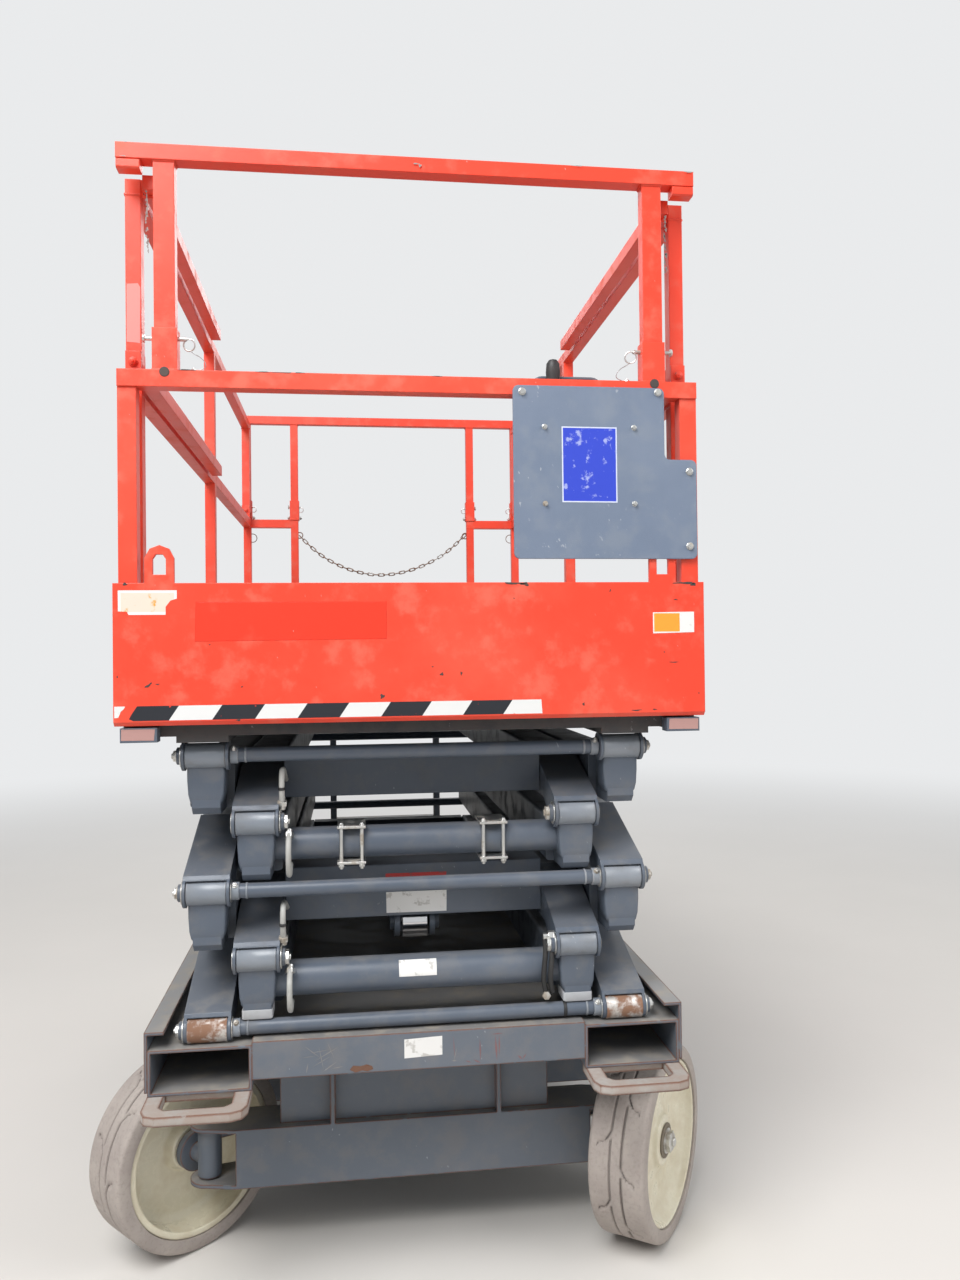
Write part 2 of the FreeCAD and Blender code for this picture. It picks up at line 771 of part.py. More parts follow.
def scissor_arm(name, ear, outer):
    """One arm, its middle plane at X = 0, its outer side towards +X."""
    fork = plate(
        name + "_nose",
        [
            (ear * cosine(EAR_TANGENT), -(ear * sine(EAR_TANGENT))),
            (110, tube_bottom),
            (d.nose_length, tube_bottom),
            (d.nose_length, tube_top),
            (-8, d.nose_mouth),
            (-ear, 0),
        ],
        "X",
        -half_arm,
        half_arm,
    )
    ears = rod(name + "_ears", ear, (-half_arm, 0, 0), d.arm_width, "X")
    mouth = plate(
        name + "_mouth",
        [
            (-60, -60),
            (d.mouth_depth, -60),
            (d.mouth_depth, nose_line(d.mouth_depth) - 7),
            (-60, nose_line(-60) - 7),
        ],
        "X",
        -half_arm + d.ear_plate,
        half_arm - d.ear_plate,
    )
    forked = cut(name + "_fork", fuse(name + "_fork_block", [fork, ears]), mouth)
    tube = rounded(
        name + "_tube",
        box(
            name + "_bar",
            (-half_arm, d.nose_length, tube_bottom),
            (half_arm, d.pin_span - d.neck_reach, tube_top),
        ),
        Vector(0, 1, 0),
        8,
    )
    neck = plate(
        name + "_neck",
        [
            (d.pin_span - d.neck_reach, tube_bottom),
            (d.pin_span - 6, tube_bottom),
            (d.pin_span + 8, tube_bottom + 14),
            (d.pin_span + 8, d.pin_pitch),
            (d.pin_span - d.boss_radius, d.pin_pitch),
            (d.pin_span - d.neck_reach, tube_top),
        ],
        "X",
        -(d.neck_width / 2),
        d.neck_width / 2,
    )
    boss = rod(name + "_boss", d.boss_radius, (-boss_half, d.pin_span, d.pin_pitch), 2 * boss_half, "X")
    pin_start = -half_arm if outer else -half_arm - d.pin_head
    pin = rod(name + "_pin", d.pin_radius, (pin_start, 0, 0), d.arm_width + d.pin_head, "X")
    solid = fuse(name + "_solid", [forked, tube, neck, boss])
    boss_bore = rod(
        name + "_boss_bore",
        d.pin_radius + d.running_fit,
        (-d.arm_width, d.pin_span, d.pin_pitch),
        2 * d.arm_width,
        "X",
    )
    centre = (d.pin_span / 2, d.pin_pitch / 2)
    if outer:
        centre_bore = rod(
            name + "_centre_bore",
            d.centre_pin_radius + d.running_fit,
            (-d.arm_width, *centre),
            2 * d.arm_width,
            "X",
        )
        bored = cut(name + "_bored", solid, fuse(name + "_bores", [boss_bore, centre_bore]))
        return fuse(name, [bored, pin])
    centre_reach = half_arm + d.arm_gap + d.arm_width + 10
    centre_pin = rod(name + "_centre_pin", d.centre_pin_radius, (0, *centre), centre_reach, "X")
    return fuse(name, [cut(name + "_bored", solid, boss_bore), pin, centre_pin])


inner_x = d.arm_inner_x + half_arm
outer_x = inner_x + d.arm_width + d.arm_gap
front_pin_y = d.rear_pin_y - d.pin_span
BACK = Vector(0, 1, 0)
masters = {}
for row, outer in (("inner", False), ("outer", True)):
    for order, ear in (("first", d.first_ear_radius), ("next", d.ear_radius)):
        right = scissor_arm(f"arm_{row}_{order}", ear, outer)
        shifted = group(f"arm_{row}_{order}_right", [right])
        place(shifted, (outer_x if outer else inner_x, 0, 0))
        pair = both_sides(f"arm_{row}_{order}_pair", shifted)
        masters[row, order, "rises_back"] = pair
        masters[row, order, "rises_forward"] = mirror(f"arm_{row}_{order}_pair_turned", pair, BACK)

# Stages from the bottom up: stage, row of the arms that rise to the rear
STAGES = [(1, "outer"), (2, "inner"), (3, "outer"), (4, "inner")]
ROWS = {"outer": "inner", "inner": "outer"}
outer_inner_face = d.arm_inner_x + d.arm_width + d.arm_gap
tie_half = outer_inner_face - d.seat_gap


def tie_rod(name, y, z, radius):
    """A round bar between the two outer arms of a frame."""
    return rod(name, radius, (-tie_half, y, z), 2 * tie_half, "X")


for stage, rear_row in STAGES:
    order = "first" if stage == 1 else "next"
    level = d.base_pin_z + (stage - 1) * d.pin_pitch
    for letter, row, way, y in (
        ("a", rear_row, "rises_back", front_pin_y),
        ("b", ROWS[rear_row], "rises_forward", d.rear_pin_y),
    ):
        arms = group(f"arms_{letter}{stage}_pair", [masters[row, order, way]])
        place(arms, (0, y, level))
        pieces = [arms]
        if row == "outer":
            pieces.append(tie_rod(f"tie_{letter}{stage}", y, level, d.tie_radius))
        if row == "outer" and stage == 1:
            sleeve_start = outer_inner_face + d.ear_plate + d.seat_gap
            sleeve = cut(
                "sleeve",
                rod("sleeve_outside", d.boss_radius - d.seat_gap, (sleeve_start, y, level), 2 * boss_half, "X"),
                rod("sleeve_bore", d.pin_radius + d.running_fit, (sleeve_start - 5, y, level), d.arm_width, "X"),
            )
            pieces.append(both_sides("sleeves", sleeve))
        if row == "outer" and stage == 4:
            top_y = front_pin_y
            top_z = level + d.pin_pitch
            disc_start = outer_inner_face
            roller = fuse(
                "roller",
                [
                    rod("roller_inner", d.ear_radius, (disc_start, top_y, top_z), d.ear_plate, "X"),
                    rod(
                        "roller_outer",
                        d.ear_radius,
                        (disc_start + d.arm_width - d.ear_plate, top_y, top_z),
                        d.ear_plate,
                        "X",
                    ),
                    rod("roller_pin", d.pin_radius, (disc_start, top_y, top_z), d.arm_width + d.pin_head, "X"),
                ],
            )
            pieces.append(both_sides("rollers", roller))
            pieces.append(tie_rod("tie_top", top_y, top_z, d.tie_radius))
        keep(f"arms_{letter}{stage}", group(f"arms_{letter}{stage}", pieces))

# Cross members of the inner frames: name, stage, way, tube radius, distance from the upper pin,
# depth below the upper pin, distance of the lower tube from its pin
cross_half = d.arm_inner_x - d.seat_gap
neck_half = inner_x - d.neck_width / 2 - d.seat_gap
mount_b1 = size(700)
mount_a2 = size(200)
mount_a2_rise = size(9)
lug_inner = size(33)
lug_plate = size(12)
nose_box = size(150)
lug_box = size(245)
tube_setback = size(46)
INNER_FRAMES = [
    ("b1", 1, "rises_forward", 36, 57),
    ("a2", 2, "rises_back", 33, 54),
    ("b3", 3, "rises_forward", 33, 54),
    ("a4", 4, "rises_back", 33, 54),
]
for name, stage, way, radius, drop in INNER_FRAMES:
    level = d.base_pin_z + (stage - 1) * d.pin_pitch
    sign = 1 if way == "rises_back" else -1
    low_y = front_pin_y if sign > 0 else d.rear_pin_y
    high_y = d.rear_pin_y if sign > 0 else front_pin_y
    mid_z = level + d.pin_pitch / 2
    pieces = [
        rod(
            f"cross_{name}_neck",
            radius,
            (-neck_half, high_y - sign * tube_setback, level + d.pin_pitch - drop),
            2 * neck_half,
            "X",
        )
    ]
    near = low_y + sign * (nose_box if name != "a2" else lug_box)
    far = near + sign * 55
    start, end = (near, far) if sign > 0 else (far, near)
    beam = box(f"cross_{name}_nose", (-cross_half, start, mid_z - 22), (cross_half, end, mid_z + 38))
    if name == "b1":
        mount_y = low_y + sign * mount_b1
        pieces.append(rod("cross_b1_mount", 30, (-cross_half, mount_y, mid_z), 2 * cross_half, "X"))
    if name == "a2":
        eye_y, eye_z = low_y + mount_a2, level + mount_a2_rise
        side_lug = fuse(
            "side_lug",
            [
                plate(
                    "side_lug_web",
                    [
                        (start + 10, mid_z - 22),
                        (start + 10, mid_z + 30),
                        (start - 8, mid_z + 30),
                        (eye_y - 26, eye_z + 24),
                        (eye_y, eye_z),
                        (eye_y + 26, eye_z - 24),
                    ],
                    "X",
                    lug_inner,
                    lug_inner + lug_plate,
                ),
                rod("side_lug_eye", 35, (lug_inner, eye_y, eye_z), lug_plate, "X"),
                rod("side_lug_head", 20, (lug_inner, eye_y, eye_z), lug_plate + 10, "X"),
            ],
        )
        beam = fuse("cross_a2_beam", [beam, both_sides("side_lugs", side_lug)])
    pieces.append(beam)
    keep(f"cross_{name}", group(f"cross_{name}", pieces))

# Pivots on the chassis under the lowest rear pins
pedestal = cut(
    "pedestal",
    fuse(
        "pedestal_body",
        [
            rod("pedestal_boss", d.boss_radius - 0.5, (inner_x - boss_half, d.rear_pin_y, d.base_pin_z), 2 * boss_half, "X"),
            box(
                "pedestal_foot",
                (inner_x - boss_half, d.rear_pin_y - 22, pocket_high),
                (inner_x + boss_half, d.rear_pin_y + 22, d.base_pin_z),
            ),
        ],
    ),
    rod(
        "pedestal_bore",
        d.pin_radius + d.running_fit,
        (inner_x - d.arm_width, d.rear_pin_y, d.base_pin_z),
        2 * d.arm_width,
        "X",
    ),
)
keep("scissor_pivots", both_sides("scissor_pivots", pedestal))

# Platform deck: a plate on side channels, two tracks over the outer arms and cross beams
top_pin_z = d.base_pin_z + 4 * d.pin_pitch
track_low = top_pin_z + d.ear_radius + d.seat_gap
plate_low = d.deck_top - d.deck_plate
channel_low = d.deck_top - 47
beam_foot = d.deck_top - 39
main_low = (-d.deck_half_width, d.platform_front, plate_low)
main_high = (d.deck_half_width, d.platform_rear, d.deck_top)
deck_pieces = [
    box("deck_plate_main", main_low, main_high),
]
for label, side in (("right", 1), ("left", -1)):
    inner_edge, outer_edge = d.deck_half_width - 45, d.deck_half_width
    low_x, high_x = (inner_edge, outer_edge) if side > 0 else (-outer_edge, -inner_edge)
    deck_pieces.append(
        box(f"deck_side_{label}", (low_x, d.platform_front, channel_low), (high_x, d.platform_rear, plate_low + 1))
    )
    track_in, track_out = outer_inner_face - 4, outer_inner_face + d.arm_width + 4
    low_x, high_x = (track_in, track_out) if side > 0 else (-track_out, -track_in)
    deck_pieces.append(
        box(f"deck_track_{label}", (low_x, d.platform_front, track_low), (high_x, d.platform_rear, plate_low + 1))
    )
# Cross beams: front face, width
BEAMS = [
    (d.platform_front, 60),
    (size(-560), 60),
    (size(-40), 60),
    (size(480), 60),
    (d.rear_pin_y - 40, 80),
    (d.platform_rear - 60, 60),
]
for index, (y, width) in enumerate(BEAMS, start=1):
    low = (-d.deck_half_width, y, beam_foot)
    high = (d.deck_half_width, y + width, plate_low + 1)
    deck_pieces.append(box(f"deck_beam_{index}", low, high))
keep("platform_deck", fuse("platform_deck", deck_pieces))

# Brackets under the deck that hold the highest rear pins, and corner blocks at the front
bracket = fuse(
    "bracket",
    [
        rod("bracket_ear_inner", d.ear_radius, (d.arm_inner_x, d.rear_pin_y, top_pin_z), d.ear_plate, "X"),
        rod(
            "bracket_ear_outer",
            d.ear_radius,
            (d.arm_inner_x + d.arm_width - d.ear_plate, d.rear_pin_y, top_pin_z),
            d.ear_plate,
            "X",
        ),
        box(
            "bracket_side_inner",
            (d.arm_inner_x, d.rear_pin_y - d.ear_radius, top_pin_z),
            (d.arm_inner_x + d.ear_plate, d.rear_pin_y + d.ear_radius, beam_foot),
        ),
        box(
            "bracket_side_outer",
            (d.arm_inner_x + d.arm_width - d.ear_plate, d.rear_pin_y - d.ear_radius, top_pin_z),
            (d.arm_inner_x + d.arm_width, d.rear_pin_y + d.ear_radius, beam_foot),
        ),
        box(
            "bracket_top",
            (d.arm_inner_x, d.rear_pin_y - d.ear_radius, top_pin_z + 32),
            (d.arm_inner_x + d.arm_width, d.rear_pin_y + d.ear_radius, beam_foot),
        ),
        rod(
            "bracket_pin",
            d.pin_radius,
            (d.arm_inner_x - d.pin_head, d.rear_pin_y, top_pin_z),
            d.arm_width + d.pin_head,
            "X",
        ),
    ],
)
block = box(
    "corner_block",
    (d.deck_half_width - 69, d.platform_front - 32, channel_low),
    (d.deck_half_width, d.platform_front, channel_low + 28),
)
keep(
    "platform_brackets",
    group("platform_brackets", [both_sides("brackets", bracket), both_sides("corner_blocks", block)]),
)

# Toe boards along the sides and beside the entry
rail_outer_x = d.deck_half_width - d.toe_plate
board_high = d.deck_top + d.toe_board
board_rear = d.rear_rail_y + 32
entry_x = size(350)
side_board = box(
    "side_board",
    (rail_outer_x, d.platform_front + 20, d.deck_top),
    (d.deck_half_width, board_rear, board_high),
)
rear_board = box(
    "rear_board",
    (entry_x + 40, board_rear, d.deck_top),
    (d.deck_half_width, board_rear + d.toe_plate, board_high),
)
keep("toe_boards", both_sides("toe_boards", fuse("toe_board_right", [side_board, rear_board])))

# Lower posts of the main platform: name, outer face, front face
rail_inner_x = rail_outer_x - d.rail_tube
mid_low = d.mid_rail_top - d.mid_rail_height
side_front_y = d.platform_front + 25
hinge_rear_y = d.rear_rail_y - 45
middle_post_y = size(-30)
POSTS = [
    ("front", rail_outer_x, side_front_y),
    ("middle", rail_outer_x, middle_post_y),
    ("rear", rail_outer_x, d.rear_rail_y),
    ("entry", entry_x + d.rail_tube, d.rear_rail_y),
]
posts = [
    both_sides(
        f"posts_{name}",
        box(f"post_{name}", (outer - d.rail_tube, y, d.deck_top), (outer, y + d.rail_tube, mid_low)),
    )
    for name, outer, y in POSTS
]
keep("platform_posts", group("platform_posts", posts))

# Middle rails with the hinge ears of the side top rails and the sockets of the rear top rail
hinge_z = d.mid_rail_top + 30
hinge_x = rail_outer_x - d.rail_tube / 2
socket_wall = size(3)
socket_gap = size(0.6)


def socket(name, x, y, width, depth, low, high):
    """A square socket around a post whose corner is at x, y."""
    grown = socket_gap + socket_wall
    outside = box(name + "_outside", (x - grown, y - grown, low), (x + width + grown, y + depth + grown, high))
    inside = box(
        name + "_inside",
        (x - socket_gap, y - socket_gap, low + 4),
        (x + width + socket_gap, y + depth + socket_gap, high + 1),
    )
    return cut(name, outside, inside)


mid_pieces = [
    box(
        "mid_rail_side",
        (rail_inner_x, side_front_y, mid_low),
        (rail_outer_x, d.rear_rail_y + d.rail_tube, d.mid_rail_top),
    ),
    box(
        "mid_rail_rear",
        (entry_x, d.rear_rail_y, mid_low),
        (rail_outer_x, d.rear_rail_y + d.rail_tube, d.mid_rail_top),
    ),
]
for index, y in enumerate((side_front_y, hinge_rear_y), start=1):
    for label, ear_y in (("near", y - 6.5), ("far", y + d.rail_tube + 1.5)):
        mid_pieces.append(
            box(
                f"hinge_ear_{label}_{index}",
                (rail_inner_x, ear_y, d.mid_rail_top - 5),
                (rail_outer_x, ear_y + 5, hinge_z + 22),
            )
        )
    mid_pieces.append(rod(f"hinge_pin_{index}", 6, (hinge_x, y - 8, hinge_z), d.rail_tube + 16, "Y"))
for name, x in (("corner", rail_inner_x), ("entry", entry_x)):
    mid_pieces.append(
        socket(f"socket_{name}", x, d.rear_rail_y, d.rail_tube, d.rail_tube, d.mid_rail_top - 2, d.mid_rail_top + 78)
    )
mid_right = fuse("mid_rails_right", mid_pieces)
keep("platform_mid_rails", both_sides("platform_mid_rails", mid_right))

# Side top rails: a bar on two posts, each bored for its hinge pin
side_rail_top = d.mid_rail_top + d.top_rail_rise
bar_low = side_rail_top - d.rail_tube
# Posts: name, front face, foot
TOP_POSTS = [
    ("front", side_front_y, hinge_z),
    ("rear", hinge_rear_y, hinge_z),
    ("middle", middle_post_y, mid_low + 45),
]
top_pieces = [
    box("top_side_bar", (rail_inner_x, side_front_y, bar_low), (rail_outer_x, hinge_rear_y + d.rail_tube, side_rail_top)),
    rod("top_side_foot_front", d.rail_tube / 2, (hinge_x, side_front_y, hinge_z), d.rail_tube, "Y"),
    rod("top_side_foot_rear", d.rail_tube / 2, (hinge_x, hinge_rear_y, hinge_z), d.rail_tube, "Y"),
]
for name, y, foot in TOP_POSTS:
    top_pieces.append(
        box(f"top_side_post_{name}", (rail_inner_x, y, foot), (rail_outer_x, y + d.rail_tube, bar_low + 1))
    )
top_side = fuse("top_side", top_pieces)
bore_run = hinge_rear_y - side_front_y + 130
top_side_bore = rod("top_side_bore", 6.1, (hinge_x, side_front_y - 20, hinge_z), bore_run, "Y")
guide = cut(
    "guide",
    box(
        "guide_block",
        (rail_inner_x - 44, side_front_y + 2, bar_low - 6),
        (rail_inner_x, side_front_y + 28, side_rail_top),
    ),
    box(
        "guide_slot",
        (rail_inner_x - 39, side_front_y - 5, bar_low),
        (rail_inner_x - 5, side_front_y + 40, side_rail_top + 5),
    ),
)
top_right = fuse("top_rail_right", [cut("top_side_bored", top_side, top_side_bore), guide])
keep("top_rail_right", top_right)
keep("top_rail_left", mirror("top_rail_left", top_right, Vector(1, 0, 0)))

# Sliding upper rails of the extension, inside the side top rails
slide_out = rail_inner_x - 8
slide_in = slide_out - 28
slide_front = d.platform_front + 2
slide_rear = size(-150)
slide_top = box(
    "slide_top",
    (slide_in, slide_front, bar_low + d.seat_gap),
    (slide_out, slide_rear, bar_low + 28),
)
keep("slide_rail_right", slide_top)
keep("slide_rail_left", mirror("slide_rail_left", slide_top, Vector(1, 0, 0)))

# Rear top rail: a bar on four posts that stand in the sockets
rear_rail_top = side_rail_top + d.rear_rail_step
rear_bar_low = rear_rail_top - 32
post_foot = d.mid_rail_top + 4
rear_pieces = [
    box(
        "rear_bar",
        (-rail_outer_x, d.rear_rail_y, rear_bar_low),
        (rail_outer_x, d.rear_rail_y + d.rail_tube, rear_rail_top),
    )
]
for label, x in (("corner", rail_inner_x), ("entry", entry_x)):
    rear_pieces.append(
        both_sides(
            f"rear_posts_{label}",
            box(
                f"rear_post_{label}",
                (x, d.rear_rail_y, post_foot),
                (x + d.rail_tube, d.rear_rail_y + d.rail_tube, rear_bar_low + 1),
            ),
        )
    )
keep("top_rail_rear", fuse("top_rail_rear", rear_pieces))

# Extension deck: it slides on two strips over the main deck
extension_rear = d.panel_front + d.extension_length
strip_low = d.deck_top + d.seat_gap
deck_low = d.deck_top + 6
deck_high = deck_low + d.deck_plate
extension_half = d.deck_half_width - 55
strip_in = extension_half - 90
strip = box("strip", (strip_in, d.panel_front + 45, strip_low), (strip_in + 40, extension_rear, deck_low + 1))
keep(
    "extension_deck",
    fuse(
        "extension_deck",
        [
            box(
                "extension_plate",
                (-extension_half, d.panel_front + d.panel_plate, deck_low),
                (extension_half, extension_rear, deck_high),
            ),
            both_sides("strips", strip),
        ],
    ),
)

front_post_x = d.deck_half_width - 35
flange_half = front_post_x - d.seat_gap

# Front panel: a plate with a bent lower lip, side returns and two D-shaped loops on its top edge
panel_half = d.deck_half_width + d.panel_overhang
flange_low_z = d.panel_high - d.panel_plate
loop_x = d.deck_half_width - 77
loop = cut(
    "loop",
    plate(
        "loop_plate",
        [
            (loop_x - 27, d.panel_high - 2),
            (loop_x - 27, d.panel_high + 48),
            (loop_x - 18, d.panel_high + 66),
            (loop_x, d.panel_high + 73),
            (loop_x + 18, d.panel_high + 66),
            (loop_x + 28, d.panel_high + 48),
            (loop_x + 28, d.panel_high - 2),
        ],
        "Y",
        d.panel_front,
        d.panel_front + 10,
    ),
    plate(
        "loop_slot",
        [
            (loop_x - 12, d.panel_high + 16),
            (loop_x - 12, d.panel_high + 46),
            (loop_x - 6, d.panel_high + 55),
            (loop_x + 7, d.panel_high + 55),
            (loop_x + 13, d.panel_high + 46),
            (loop_x + 13, d.panel_high + 16),
        ],
        "Y",
        d.panel_front - 5,
        d.panel_front + 15,
    ),
)
panel = fuse(
    "front_panel",
    [
        box(
            "panel_face",
            (-panel_half, d.panel_front, d.panel_low + 8),
            (panel_half, d.panel_front + d.panel_plate, d.panel_high),
        ),
        box(
            "panel_top",
            (-flange_half, d.panel_front, flange_low_z),
            (flange_half, d.panel_front + 22, d.panel_high),
        ),
        plate(
            "panel_lip",
            [
                (d.panel_front, d.panel_low + 8),
                (d.panel_front + 8, d.panel_low),
                (d.panel_front + 26, d.panel_low),
                (d.panel_front + 26, d.panel_low + 4),
                (d.panel_front + 10, d.panel_low + 4),
                (d.panel_front + d.panel_plate, d.panel_low + 10),
            ],
            "X",
            -panel_half,
            panel_half,
        ),
        both_sides(
            "panel_returns",
            box(
                "panel_return",
                (panel_half - d.panel_plate, d.panel_front, d.panel_low + 8),
                (panel_half, d.panel_front + 30, d.panel_high),
            ),
        ),
        both_sides("loops", loop),
    ],
)
keep("front_panel", panel)

# Front posts and the lower rails of the extension, with sockets for the front top rail
front_post = box(
    "front_post",
    (front_post_x, d.panel_front + d.panel_plate, deck_high - 1),
    (front_post_x + 35, d.panel_front + 35, mid_low),
)
post_foot_plate = box(
    "front_post_foot",
    (extension_half, d.panel_front + d.panel_plate, deck_low),
    (front_post_x + 35, d.panel_front + 35, deck_high),
)
keep("extension_posts", both_sides("extension_posts", fuse("front_post_right", [front_post, post_foot_plate])))
post_width = size(40)
post_depth = size(28)
upper_post_x = d.deck_half_width - 109
upper_post_y = d.panel_front + 6
front_mid = box(
    "front_mid",
    (-d.deck_half_width, d.panel_front, mid_low),
    (d.deck_half_width, d.panel_front + 35, d.mid_rail_top),
)
side_mid = box("side_mid", (slide_in, d.panel_front + 34, mid_low + 2), (slide_out, slide_rear, mid_low + 30))
front_socket = socket(
    "front_socket", upper_post_x, upper_post_y, post_width, post_depth, d.mid_rail_top - 2, d.mid_rail_top + 82
)
keep(
    "extension_rails",
    fuse("extension_rails", [front_mid, both_sides("side_mids", side_mid), both_sides("front_sockets", front_socket)]),
)

# Front top rail: a bar on two posts that stand in the sockets
front_rail_top = side_rail_top + d.front_rail_step
front_bar_low = front_rail_top - 30
upper_post = box(
    "upper_post",
    (upper_post_x, upper_post_y, d.mid_rail_top + 4),
    (upper_post_x + post_width, upper_post_y + post_depth, front_bar_low + 1),
)
front_bar = box(
    "front_bar",
    (-d.deck_half_width, d.panel_front + 2, front_bar_low),
    (d.deck_half_width, d.panel_front + 36, front_rail_top),
)
keep("top_rail_front", fuse("top_rail_front", [front_bar, both_sides("upper_posts", upper_post)]))

# Notice board bolted in front of the right-hand rails, notched at its upper outer corner
board_in = d.deck_half_width - 384
board_out = rail_outer_x
board_low = d.panel_high + 47
board_top = d.mid_rail_top - 15
notch_x = board_out - 67
notch_z = board_top - 146
board = plate(
    "notice_board_plate",
    [
        (board_in, board_low),
        (board_out, board_low),
        (board_out, notch_z),
        (notch_x, notch_z),
        (notch_x, board_top),
        (board_in, board_top),
    ],
    "Y",
    d.panel_front - 5,
    d.panel_front,
)
keep("notice_board", rounded("notice_board_rounded", board, Vector(0, 1, 0), 12))

# Control box on the inner side of the front rail
keep(
    "control_box",
    rounded(
        "control_box_round",
        box(
            "control_box_block",
            (board_in + 54, d.panel_front + 35, mid_low - 202),
            (board_in + 234, d.panel_front + 165, mid_low + 13),
        ),
        Vector(1, 0, 0),
        14,
    ),
)

# Entry chain: hangs between the entry posts
# Route: share of the half width, depth below the top of the middle rails
CHAIN = [
    (-1, 65),
    (-0.841, 123),
    (-0.623, 175),
    (-0.348, 215),
    (-0.029, 232),
    (0.319, 212),
    (0.623, 167),
    (0.846, 113),
    (1, 57),
]
chain_y = d.rear_rail_y + 15
chain_half = entry_x - 5
chain_radius = size(6)


def cord(points, radius):
    """A tube along straight runs that are joined by tangent arcs."""
    edges = []
    last = points[0]
    for before, here, after in zip(points, points[1:], points[2:]):
        back = (before - here).normalize()
        ahead = (after - here).normalize()
        trim = 0.45 * min((before - here).Length, (after - here).Length)
        start = here + back * trim
        end = here + ahead * trim
        turn = math.pi - back.getAngle(ahead)
        bend = trim / math.tan(turn / 2)
        middle = here + (back + ahead).normalize() * (math.hypot(trim, bend) - bend)
        edges.append(Part.LineSegment(last, start).toShape())
        edges.append(Part.Arc(start, middle, end).toShape())
        last = end
    edges.append(Part.LineSegment(last, points[-1]).toShape())
    path = Part.Wire(edges)
    ring = Part.Wire(Part.Circle(points[0], points[1] - points[0], radius).toShape())
    return path.makePipeShell([ring], True, False)


chain = doc.addObject("Part::Feature", "entry_chain")
route = [
    Vector(share * chain_half.number, chain_y.number, d.mid_rail_top.number - depth)
    for share, depth in CHAIN
]
chain.Shape = cord(route, chain_radius.number)
keep("entry_chain", chain)

# Lift cylinder between the lowest inner frame and the next one above
mid_first = d.base_pin_z + d.pin_pitch / 2
foot_y = d.rear_pin_y - mount_b1
head_y = front_pin_y + mount_a2
head_z = d.base_pin_z + d.pin_pitch + mount_a2_rise
lift_run = (foot_y.number - head_y.number, head_z.number - mid_first.number)
lift_length = math.hypot(*lift_run)
lift_tilt = math.degrees(math.atan2(lift_run[1], lift_run[0]))
lift_rod_radius = size(28)
lift_barrel = cut(
    "lift_barrel",
    fuse(
        "lift_barrel_body",
        [
            rod("lift_barrel_tube", 52, (0, -lift_length + 130, 0), lift_length - 165, "Y"),
            rod("lift_barrel_gland", 56, (0, -lift_length + 130, 0), 40, "Y"),
            box("lift_barrel_neck", (-30, -50, -30), (30, 0, 30)),
            rod("lift_barrel_eye", 44, (-30, 0, 0), 60, "X"),
        ],
    ),
    fuse(
        "lift_barrel_bores",
        [
            rod("lift_barrel_bore", lift_rod_radius + d.running_fit, (0, -lift_length + 100, 0), lift_length - 190, "Y"),
            rod("lift_barrel_pin_bore", 30.1, (-80, 0, 0), 160, "X"),
        ],
    ),
)
lift_barrel.Placement = Placement(Vector(), Rotation(Vector(1, 0, 0), -lift_tilt))
keep("lift_barrel", lift_barrel, (0, foot_y, mid_first))
lift_rod = fuse(
    "lift_rod",
    [
        rod("lift_rod_bar", lift_rod_radius, (0, -lift_length + 10, 0), lift_length - 120, "Y"),
        rod("lift_rod_eye", 38, (-27, -lift_length, 0), 54, "X"),
    ],
)
lift_rod.Placement = Placement(Vector(), Rotation(Vector(1, 0, 0), -lift_tilt))
keep("lift_rod", lift_rod, (0, foot_y, mid_first))

doc.recompute()
for item in doc.Objects:
    if {"Invalid", "Error"} & set(item.State):
        raise RuntimeError(f"{item.Name} failed: {item.State}")
for item in nodes:
    if item.Shape.isNull() or not item.Shape.isValid():
        raise RuntimeError(f"{item.Label} has no valid shape")
for item in nodes:
    item.Shape.exportStep(f"parts/{item.Label}.step")
print(len(nodes), "sub-parts")
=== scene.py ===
import json
import math

import bpy
import numpy as np
from mathutils import Matrix, Vector


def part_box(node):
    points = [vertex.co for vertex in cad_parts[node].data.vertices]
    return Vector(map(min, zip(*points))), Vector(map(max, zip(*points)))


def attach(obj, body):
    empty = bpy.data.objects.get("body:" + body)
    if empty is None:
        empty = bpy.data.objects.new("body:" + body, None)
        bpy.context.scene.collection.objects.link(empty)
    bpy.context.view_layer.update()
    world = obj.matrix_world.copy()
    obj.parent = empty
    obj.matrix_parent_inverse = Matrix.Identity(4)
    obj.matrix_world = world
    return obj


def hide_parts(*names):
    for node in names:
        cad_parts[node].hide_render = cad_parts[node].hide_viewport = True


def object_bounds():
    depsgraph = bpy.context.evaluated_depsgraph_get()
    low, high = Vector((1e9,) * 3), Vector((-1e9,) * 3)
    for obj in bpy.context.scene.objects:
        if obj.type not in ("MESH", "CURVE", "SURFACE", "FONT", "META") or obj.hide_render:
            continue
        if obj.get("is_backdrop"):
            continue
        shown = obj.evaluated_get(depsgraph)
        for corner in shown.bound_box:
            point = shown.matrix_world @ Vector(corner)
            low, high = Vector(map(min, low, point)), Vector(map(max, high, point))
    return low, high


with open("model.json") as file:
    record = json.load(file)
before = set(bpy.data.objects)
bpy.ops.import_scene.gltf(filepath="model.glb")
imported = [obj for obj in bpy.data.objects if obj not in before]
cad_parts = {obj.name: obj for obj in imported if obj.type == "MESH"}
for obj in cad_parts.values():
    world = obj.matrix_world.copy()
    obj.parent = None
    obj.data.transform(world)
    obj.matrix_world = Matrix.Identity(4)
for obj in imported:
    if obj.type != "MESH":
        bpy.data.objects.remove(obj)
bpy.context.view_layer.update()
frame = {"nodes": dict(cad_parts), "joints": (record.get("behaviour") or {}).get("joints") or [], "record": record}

scene = bpy.context.scene
scene.view_settings.view_transform = "Standard"


